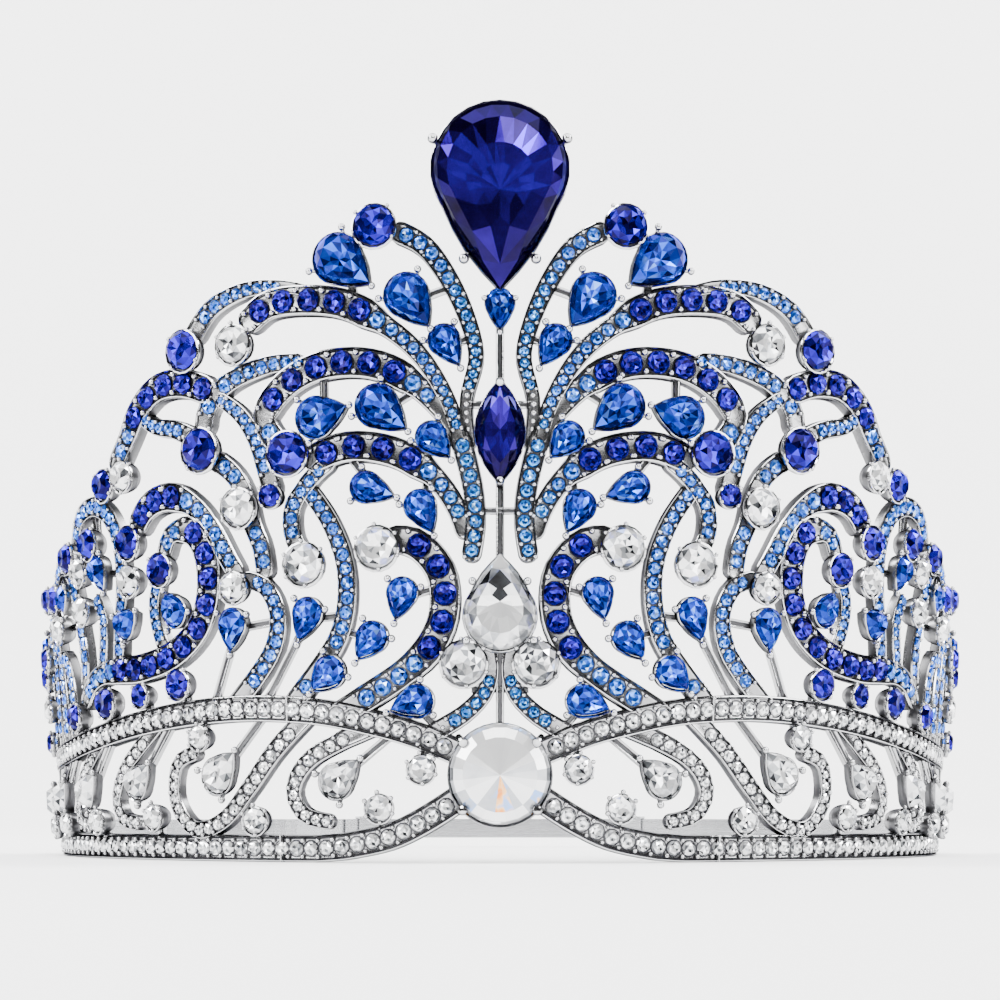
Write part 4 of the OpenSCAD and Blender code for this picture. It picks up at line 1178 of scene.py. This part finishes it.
class CrownSizes(bpy.types.PropertyGroup):
    """Sizes of the finest work, which the solids leave out."""
    pave_share: bpy.props.FloatProperty(
        name="Stone share", description="Width of a small stone as a share of its strip",
        default=0.66, min=0.4, max=0.95, subtype="FACTOR")
    pave_least: bpy.props.FloatProperty(
        name="Least stone", description="Width under which a row turns to plain beads",
        default=0.0014, min=0.001, max=0.003, unit="LENGTH")
    band_stone: bpy.props.FloatProperty(
        name="Band stone", description="Width of the clear stones in the base band",
        default=0.00225, min=0.001, max=0.003, unit="LENGTH")
    grain: bpy.props.FloatProperty(
        name="Grain", description="Radius of the raised grains between the stones",
        default=0.00036, min=0.0002, max=0.0008, unit="LENGTH")
    camera_near: bpy.props.FloatProperty(
        name="Camera distance", description="From the camera to the crown's front",
        default=0.30, min=0.2, max=2.0, unit="LENGTH")


class CROWN_OT_casting(bpy.types.Operator):
    """Casts the channelled strips, the base band and the stems"""
    bl_idname = "crown.casting"
    bl_label = "Cast lattice"

    def execute(self, context):
        TREES["swept"], TREES["placed"] = swept_tree(), placed_tree()
        make_finishes(context.scene.crown_finish)
        LAID["strips"] = lattice_strips()
        LAID["small"] = StoneRows(context.scene.crown_sizes).lay_all(LAID["strips"])
        channel, rails = section_object("channel_section", CHANNEL), section_object("stem_section", TWO_RAILS)
        heavy, fine, stems = LineCollector(), LineCollector(), LineCollector()
        for side in SIDES:
            for strip in LAID["strips"]:
                into, lift = (heavy, 0.0) if strip.kind in "RB" else (fine, LIGHT_LIFT)
                pairs = strip.edges()
                into.add(pairs, [lift] * len(pairs), side)
            self.add_stems(stems, side)
        ups = (TOP_DROP[0] - 6, SMALL_DROP[0], OVAL[0], CLEAR_DROP[0], BADGE[0])
        for top, bottom in zip(ups, ups[1:]):
            stems.add_stem((0, top), (0, bottom), DROP_STEM, LEFT)
        tie_up = OVAL[0] + 4
        stems.add_stem((-3.4, tie_up), (3.4, tie_up), TIE, LEFT)
        parts = [heavy.grown("heavy_strips", channel, FINISH["metal"]),
                 fine.grown("fine_strips", channel, FINISH["metal"], LIGHT_THICK),
                 stems.grown("stems", rails, FINISH["metal"])]
        for part in parts:
            facing_out(part.data)
        casting = merged("casting", parts, FINISH["metal"])
        smooth(casting.data, 38)
        discard(channel, rails)
        ride_root(casting, ["front_casting", "left_wing", "right_wing"])
        return {"FINISHED"}

    @staticmethod
    def add_stems(stems, side):
        for row in ALL_ROUNDS:
            if row[4]:
                stems.add_stem(row[4], row[:2], STEM, side)
        for row in ALL_DROPS:
            for foot in row[6]:
                stems.add_stem(foot, row[:2], DROP_STEM, side, 0.35)
        for a, b in SHORT_BARS:
            stems.add_stem(a, b, STEM, side)
        high_seam = band_up(HIGH_SEAM_AZ)
        for az, low, high in ((HIGH_SEAM_AZ, high_seam - 2, high_seam + 2), (SEAM_AZ, 0, 4)):
            stems.add_stem((az, low), (az, high), SEAM, side, 0.0, 0.45)
        end = LATTICE_AZ - 1.2
        stems.add_stem((end, 1.2), (end, 15.4), END_POST, side)


class CROWN_OT_grains(bpy.types.Operator):
    """Raises the grains between the stones and the plain beads of the narrow strips, and lays the dark discs
    of painted shade round the stones
    """
    bl_idname = "crown.grains"
    bl_label = "Grains and beads"

    def execute(self, context):
        places, seats = PlaceCollector(11), PlaceCollector(12)
        small = LAID["small"]
        for side in SIDES:
            for q, r in small["grain"]:
                places.add(q, GRAIN_SEAT, 0, (r, r, r * 1.15), side)
            for q, r in small["bead"]:
                places.add(q, BEAD_SEAT, 0, (r, r, r), side)
            # Dark discs of painted shade round the stones
            for q, r in small["seat"]:
                seats.add(q, SHADE_DISC_SEAT, 0, (r, r, 1), side)
        bead, seat = bead_piece(8), seat_piece(10)
        parts = [places.grown("grains", bead, FINISH["metal"], 0.12),
                 seats.grown("seats", seat, FINISH["metal"])]
        discard(bead, seat)
        grains = merged("grains", parts, FINISH["metal"])
        smooth(grains.data, 60)
        ride_root(grains)
        return {"FINISHED"}


class CROWN_OT_settings(bpy.types.Operator):
    """Makes the cups of the round stones, the rims of the drops and their claws"""
    bl_idname = "crown.settings"
    bl_label = "Cups, rims and claws"

    def execute(self, context):
        cups, claws = PlaceCollector(13), PlaceCollector(17)
        for side in SIDES:
            for row in CUPPED_ROUNDS:
                r, q = row[2] / 2, flat(row[:2])
                cups.add(q, 0, 0, (r, r, 1), side)
                count = 4 if row[3] == "royal" else 6
                for k in range(count):
                    a = math.tau * (k + 0.4) / count
                    edge = q + Vector((math.cos(a), math.sin(a))) * (r + 0.12)
                    claws.add(edge, CUP_CLAW, 0, (0.36, 0.36, 0.42), side)
        cup, ball = cup_piece(18), bead_piece(8)
        parts = [cups.grown("cups", cup, FINISH["metal"]),
                 claws.grown("claw_tips", ball, FINISH["metal"], 0.1)]
        discard(cup, ball)
        shapes = [self.rim_of(row, side) for side in SIDES for row in ALL_DROPS]
        rims = joined("rims", sum(shapes, []))
        facing_out(rims.data)
        darken_sides(rims.data)
        settings = merged("settings", parts + [rims], FINISH["metal"])
        smooth(settings.data, 42)
        ride_root(settings)
        return {"FINISHED"}

    @staticmethod
    def rim_of(row, side):
        r, far = row[2] / 2, row[4] / 2
        back, aside = -far * 0.62 - 0.5, r * 0.96 + 0.55
        inner, base, ball, wire = 0.62, 1.7, 0.58, 0.3
        claws = arm_claws([(far + 0.75, 0.0), (back, aside), (back, -aside)], inner, base, SEAT_TOP + 0.55,
                          ball, wire)
        shapes = [drop_rim(row[2], row[4], 0.9, SEAT_TOP + 0.35)] + claws
        return set_on_wall(shapes, flat(row[:2]), row[5], side)


class CROWN_OT_small_stones(bpy.types.Operator):
    """Sets the small sky-blue and clear stones along the strips and the base band"""
    bl_idname = "crown.small_stones"
    bl_label = "Small stones in the strips"

    def execute(self, context):
        for kind, slot, seed in (("light", "blue_glass", 21), ("clear", "clear_glass", 23)):
            places = PlaceCollector(seed)
            for side in SIDES:
                for q, d in LAID["small"][kind]:
                    places.add(q, LIGHT_SEAT, places.pick.uniform(0, 45), (d / 2, d / 2, d / 2 * 1.1), side)
            piece = pave_stone(6, seed)
            stones = places.grown("small_" + kind + "_stones", piece, FINISH[kind], 0.03)
            discard(piece)
            ride_root(stones)
        return {"FINISHED"}


class CROWN_OT_rounds(bpy.types.Operator):
    """Sets the royal rounds of the strips and the larger royal and clear rounds"""
    bl_idname = "crown.rounds"
    bl_label = "Round stones"

    def execute(self, context):
        royal, clear, line = PlaceCollector(31), PlaceCollector(33), PlaceCollector(35)
        for side in SIDES:
            for q, d in LAID["small"]["royal"]:
                line.add(q, ROYAL_SEAT, line.pick.uniform(0, 30), (d / 2, d / 2, d / 2), side)
            for row in CUPPED_ROUNDS:
                r = row[2] / 2
                into = royal if row[3] == "royal" else clear
                spin, size = royal.pick.uniform(0, 30), (r * 0.96, r * 0.96, r * 0.9)
                into.add(flat(row[:2]), CUP_TOP, spin, size, side)
        big, small = round_gem(10, 5), round_gem(8, 9)
        clear_stones = clear.grown("clear_rounds", big, FINISH["clear"])
        parts = [royal.grown("royal_cups", big, FINISH["royal"]),
                 line.grown("royal_line", small, FINISH["royal"])]
        royal_stones = merged("royal_rounds", parts, FINISH["royal"])
        discard(big, small)
        single = {glass: ["round_%d" % (i + 1) for i, row in enumerate(SINGLE_ROUNDS) if row[3] == glass]
                  for glass in ("royal", "clear")}
        ride_root(royal_stones, both(["royal_line", "royal_rounds"] + single["royal"]))
        ride_root(clear_stones, both(["clear_rounds", "pair_round"] + single["clear"]))
        return {"FINISHED"}


class CROWN_OT_drops(bpy.types.Operator):
    """Sets the blue drops of the lattice and the clear drops of the base band"""
    bl_idname = "crown.drops"
    bl_label = "Drops"

    def execute(self, context):
        single = ["drop_%d" % (i + 1) for i in range(len(SINGLE_DROPS))]
        for kind, seed, nodes in (("blue", 41, ["blue_drops"] + single), ("clear", 43, ["band_stones"])):
            shape = drop_gem(1.0, 1.4, seed)
            places = PlaceCollector(45)
            for side in SIDES:
                for row in ALL_DROPS:
                    if row[3] == kind:
                        size = (row[4] / 1.4, row[2], row[2] * 0.62)
                        places.add(flat(row[:2]), SEAT_TOP + 0.05, row[5], size, side)
            stones = places.grown(kind + "_drops", shape, FINISH[kind])
            discard(shape)
            ride_root(stones, both(nodes))
        return {"FINISHED"}


class CROWN_OT_centre(bpy.types.Operator):
    """Sets the stones of the centre line with their rims and claws"""
    bl_idname = "crown.centre"
    bl_label = "Centre stones"

    def execute(self, context):
        parts = self.top_drop() + self.small_drop() + self.oval() + self.clear_drop() + self.badge()
        rims = joined("centre_settings", parts)
        facing_out(rims.data)
        darken_sides(rims.data)
        rims.data.materials.append(FINISH["metal"])
        smooth(rims.data, 40)
        ride_root(rims)
        return {"FINISHED"}

    def top_drop(self):
        up, wide, long = TOP_DROP
        rows = [(0.93, 2.1), (0.78, 3.4), (0.5, 4.0), (0.28, 3.9)]
        gem = cut_gem(drop_outline(wide, long, 40), rows, 0.7, 3.8)
        # Painted reflections and highlights: the facets' shades by share of the stone's height
        levels = [(0, 0.6), (0.25, 0.36), (0.42, 0.3), (0.5, 0.74), (0.68, 0.6), (0.75, 0.66), (0.79, 0.16),
                  (1, 0.1)]
        self.stone("top_drop_stone", gem, up, -90, CREST_TOP, "crest", 3, "royal_glass", "top_drop", levels)
        return self.rim(TOP_DROP, -90, CREST_TOP + 0.7, [(9.6, 5.3), (9.6, -5.3), (-8.3, 9.9), (-8.3, -9.9)],
                        0.8, 0.45)

    def small_drop(self):
        up, wide, long = SMALL_DROP
        gem = cut_gem(drop_outline(wide, long, 20), [(0.84, 0.7), (0.6, 1.2), (0.3, 1.05)], 0.2, 0.95)
        self.stone("small_drop_stone", gem, up, -90, SEAT_TOP, "blue", 4, "blue_glass", "small_drop")
        return self.rim(SMALL_DROP, -90, SEAT_TOP + 0.3, [(-1.6, 2.3), (-1.6, -2.3), (3.5, 0)], 0.45, 0.26)

    def oval(self):
        up, wide, long = OVAL
        gem = cut_gem(oval_outline(wide, long, 28), [(0.86, 1.0), (0.66, 1.9), (0.34, 1.7)], 0.3, 1.5)
        # Painted reflections and highlights: the facets' shades by share of the stone's height
        levels = [(0, 0.35), (0.2, 0.45), (0.35, 0.75), (0.5, 0.4), (0.8, 0.62), (1, 0.7)]
        self.stone("oval_stone", gem, up, 90, SEAT_TOP, "crest", 6, "royal_glass", "pointed_oval", levels)
        rim = shell(oval_outline, wide, long, 28, (
            (-0.6, 0.8), (0.25, 1.4), (0.35, 2.7), (0.2, 2.85), (0.02, 2.7), (-0.2, 2.3)), 2.4)
        prongs = prong_parts([(long / 2, 0), (-long / 2, 0)], 0.5, 0.9, 3.1, 0.7, 0.4)
        return set_on_wall([rim] + prongs, Vector((0, up)), 90, LEFT)

    def clear_drop(self):
        up, wide, long = CLEAR_DROP
        gem = cut_gem(drop_outline(wide, long, 28), [(0.88, 1.3), (0.66, 2.6), (0.34, 2.3)], 0.4, 2.0)
        # Painted reflections and highlights by share of the height, and a black patch painted as the
        # reflection of the dark room
        levels = [(0, 0.85), (0.5, 0.72), (0.6, 0.6), (0.74, 0.6), (1, 0.8)]
        self.stone("clear_drop_stone", gem, up, 90, SEAT_TOP, "clear", 8, "clear_glass", "clear_drop", levels,
                   0.3, 0, (1.5, 0.68, 0.2))
        return self.rim(CLEAR_DROP, 90, SEAT_TOP + 0.5, [(-5.4, 4.9), (-5.4, -4.9), (3.2, 4.0), (3.2, -4.0)],
                        0.62, 0.34)

    def badge(self):
        """A pointed round stone, whose long facets all run to the point in the middle, and its cup."""
        up, wide = BADGE
        r = wide / 2
        profile = [(0, 0), (r * 0.9, 0), (r, 0.6), (r * 0.93, 1.5), (r * 0.74, 2.3), (0, 3.0)]
        gem = turned_profile(profile, 24, 0.13)
        # Painted reflections and highlights by share of the height, with a painted orange and blue flash low
        # down
        levels = [(0, 0.9), (0.15, 0.75), (0.2, 0.16), (0.285, 0.17), (0.31, 0.75), (0.4, 0.7), (0.45, 0.3),
                  (0.56, 0.34), (0.62, 0.75), (1, 0.95)]
        self.stone("badge_round", gem, up, 0, SEAT_TOP, "badge", 12, "clear_glass", "badge_stone", levels,
                   0.07, 0)
        cup = turned_profile([(0, 0.3), (r * 0.9, 0.3), (r + 0.2, 1.2), (r + 0.35, 2.9), (r + 0.2, 3.1),
                              (r + 0.02, 2.9), (r - 0.3, 2.5), (0, 2.5)], 40)
        turns = [math.radians(a) for a in (42, 138, 222, 318)]
        places = [((r + 0.2) * math.cos(a), (r + 0.2) * math.sin(a)) for a in turns]
        return set_on_wall([cup] + prong_parts(places, 0.6, 0.8, 4.0, 0.8, 0.5), Vector((0, up)), 0, LEFT)

    @staticmethod
    def stone(name, gem, up, phi, lift, glass, seed, slot, node, levels=(), spread=0.16, under=0.3,
              dark_reflection=None):
        (verts, faces), = set_on_wall([gem], Vector((0, up)), phi, LEFT, lift)
        obj = mesh_object(name, verts, faces)
        facing_out(obj.data)
        spark_facets(obj.data, seed, levels, spread, under, dark_reflection)
        obj.data.materials.append(FINISH[glass])
        ride_root(obj, [node])

    @staticmethod
    def rim(stone, phi, top, claws, ball, wire):
        up, wide, long = stone
        shapes = [drop_rim(wide, long, 0.5, top)] + arm_claws(claws, 0.84, 1.2, top + ball, ball, wire)
        return set_on_wall(shapes, Vector((0, up)), phi, LEFT)


class CROWN_OT_rear_band(bpy.types.Operator):
    """Finishes the sprung strips, sleeves and clips of the back"""
    bl_idname = "crown.rear_band"
    bl_label = "Rear band"

    def execute(self, context):
        for name in both(["steel_strip", "sleeve", "clip"]):
            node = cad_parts[name]
            for slot in node.material_slots:
                slot.material = FINISH["steel"]
        return {"FINISHED"}


class CROWN_OT_stage(bpy.types.Operator):
    """Lays the pale floor and backdrop and sets the lights and the camera"""
    bl_idname = "crown.stage"
    bl_label = "Floor, lights and camera"

    def execute(self, context):
        self.lay_floor()
        context.scene.world = self.studio_world()
        # Name, place, what it is aimed at, size and power of each lamp
        for name, place, aim, size, power in (
                ("soft_top", (0.05, -0.3, 0.95), (0, 0, 0.05), 1.0, 18.0),
                ("soft_left", (-0.8, -0.5, 0.4), (0, 0, 0.06), 0.5, 10.0),
                ("soft_right", (0.85, -0.4, 0.3), (0, 0, 0.06), 0.45, 7.0),
                ("soft_front", (0.15, -1.0, 0.6), (0, 0, 0.05), 0.3, 7.0),
                ("backdrop_left", (-1.2, 0.1, 1.3), (-0.3, 1.2, 0.5), 0.8, 76.0),
                ("backdrop_right", (1.2, 0.1, 1.3), (0.3, 1.2, 0.5), 0.8, 76.0)):
            lamp = bpy.data.lights.new(name, "AREA")
            lamp.shape, lamp.size, lamp.energy = "SQUARE", size, power
            self.aimed(link(bpy.data.objects.new(name, lamp)), place, aim)
        view = bpy.data.cameras.new("camera")
        view.sensor_width, view.lens = 36.0, 73.0
        view.clip_start, view.clip_end = 0.01, 20.0
        camera = link(bpy.data.objects.new("camera", view))
        # The camera stands just over the floor and looks up at the crown by this share of its distance
        near, low, climb = context.scene.crown_sizes.camera_near, 0.007, 0.155
        front = (CENTRE_Y - RING_R) * MM
        self.aimed(camera, (0.0, front - near, low), (0.0, front, low + near * climb))
        context.scene.camera = camera
        return {"FINISHED"}

    @staticmethod
    def aimed(obj, place, aim):
        obj.location = place
        obj.rotation_euler = (Vector(aim) - Vector(place)).to_track_quat("-Z", "Y").to_euler()

    @staticmethod
    def lay_floor():
        """A floor that bends up into a backdrop."""
        half_wide, front, back, bend, high = 2.4, -0.62, 0.7, 0.5, 1.8
        line = [(front, 0.0), (back, 0.0)]
        turns = [math.pi / 2 * k / 12 for k in range(1, 13)]
        line += [(back + bend * math.sin(a), bend - bend * math.cos(a)) for a in turns]
        line.append((back + bend, high))
        verts = [(x, y, z) for y, z in line for x in (-half_wide, half_wide)]
        faces = [(2 * k, 2 * k + 1, 2 * k + 3, 2 * k + 2) for k in range(len(line) - 1)]
        floor = mesh_object("floor", verts, faces)
        floor.data.materials.append(FINISH["floor"])
        smooth(floor.data, 60)

    @staticmethod
    def studio_world():
        """A room that is dark for the crown's reflections and pale where the camera sees it."""
        world = bpy.data.worlds.new("studio")
        world.use_nodes = True
        world.node_tree.nodes.clear()
        nodes = Nodes(world.node_tree)
        seen = nodes.add("ShaderNodeLightPath")["Is Camera Ray"]
        dark, pale = 0.04, 2.6
        room = nodes.add("ShaderNodeBackground", None, {
            "Color": (0.9, 0.9, 0.92, 1), "Strength": dark + seen * pale})
        nodes.add("ShaderNodeOutputWorld", None, {"Surface": room["Background"]})
        return world


OPERATORS = (CROWN_OT_casting, CROWN_OT_grains, CROWN_OT_settings, CROWN_OT_small_stones, CROWN_OT_rounds,
             CROWN_OT_drops, CROWN_OT_centre, CROWN_OT_rear_band, CROWN_OT_stage)


class VIEW3D_PT_crown(bpy.types.Panel):
    """Lists the pieces of the crown"""
    bl_label = "Pageant crown"
    bl_space_type = "VIEW_3D"
    bl_region_type = "UI"
    bl_category = "Crown"

    def draw(self, context):
        for group in (context.scene.crown_finish, context.scene.crown_sizes):
            for name in group.__annotations__:
                self.layout.prop(group, name)
        for operator in OPERATORS:
            self.layout.operator(operator.bl_idname)


CLASSES = (CrownFinish, CrownSizes) + OPERATORS + (VIEW3D_PT_crown,)


def register():
    for cls in CLASSES:
        bpy.utils.register_class(cls)
    bpy.types.Scene.crown_finish = bpy.props.PointerProperty(type=CrownFinish)
    bpy.types.Scene.crown_sizes = bpy.props.PointerProperty(type=CrownSizes)


def unregister():
    del bpy.types.Scene.crown_sizes
    del bpy.types.Scene.crown_finish
    for cls in reversed(CLASSES):
        bpy.utils.unregister_class(cls)


def main():
    register()
    for operator in OPERATORS:
        group, name = operator.bl_idname.split(".")
        getattr(getattr(bpy.ops, group), name)()


if __name__ == "__main__":
    main()
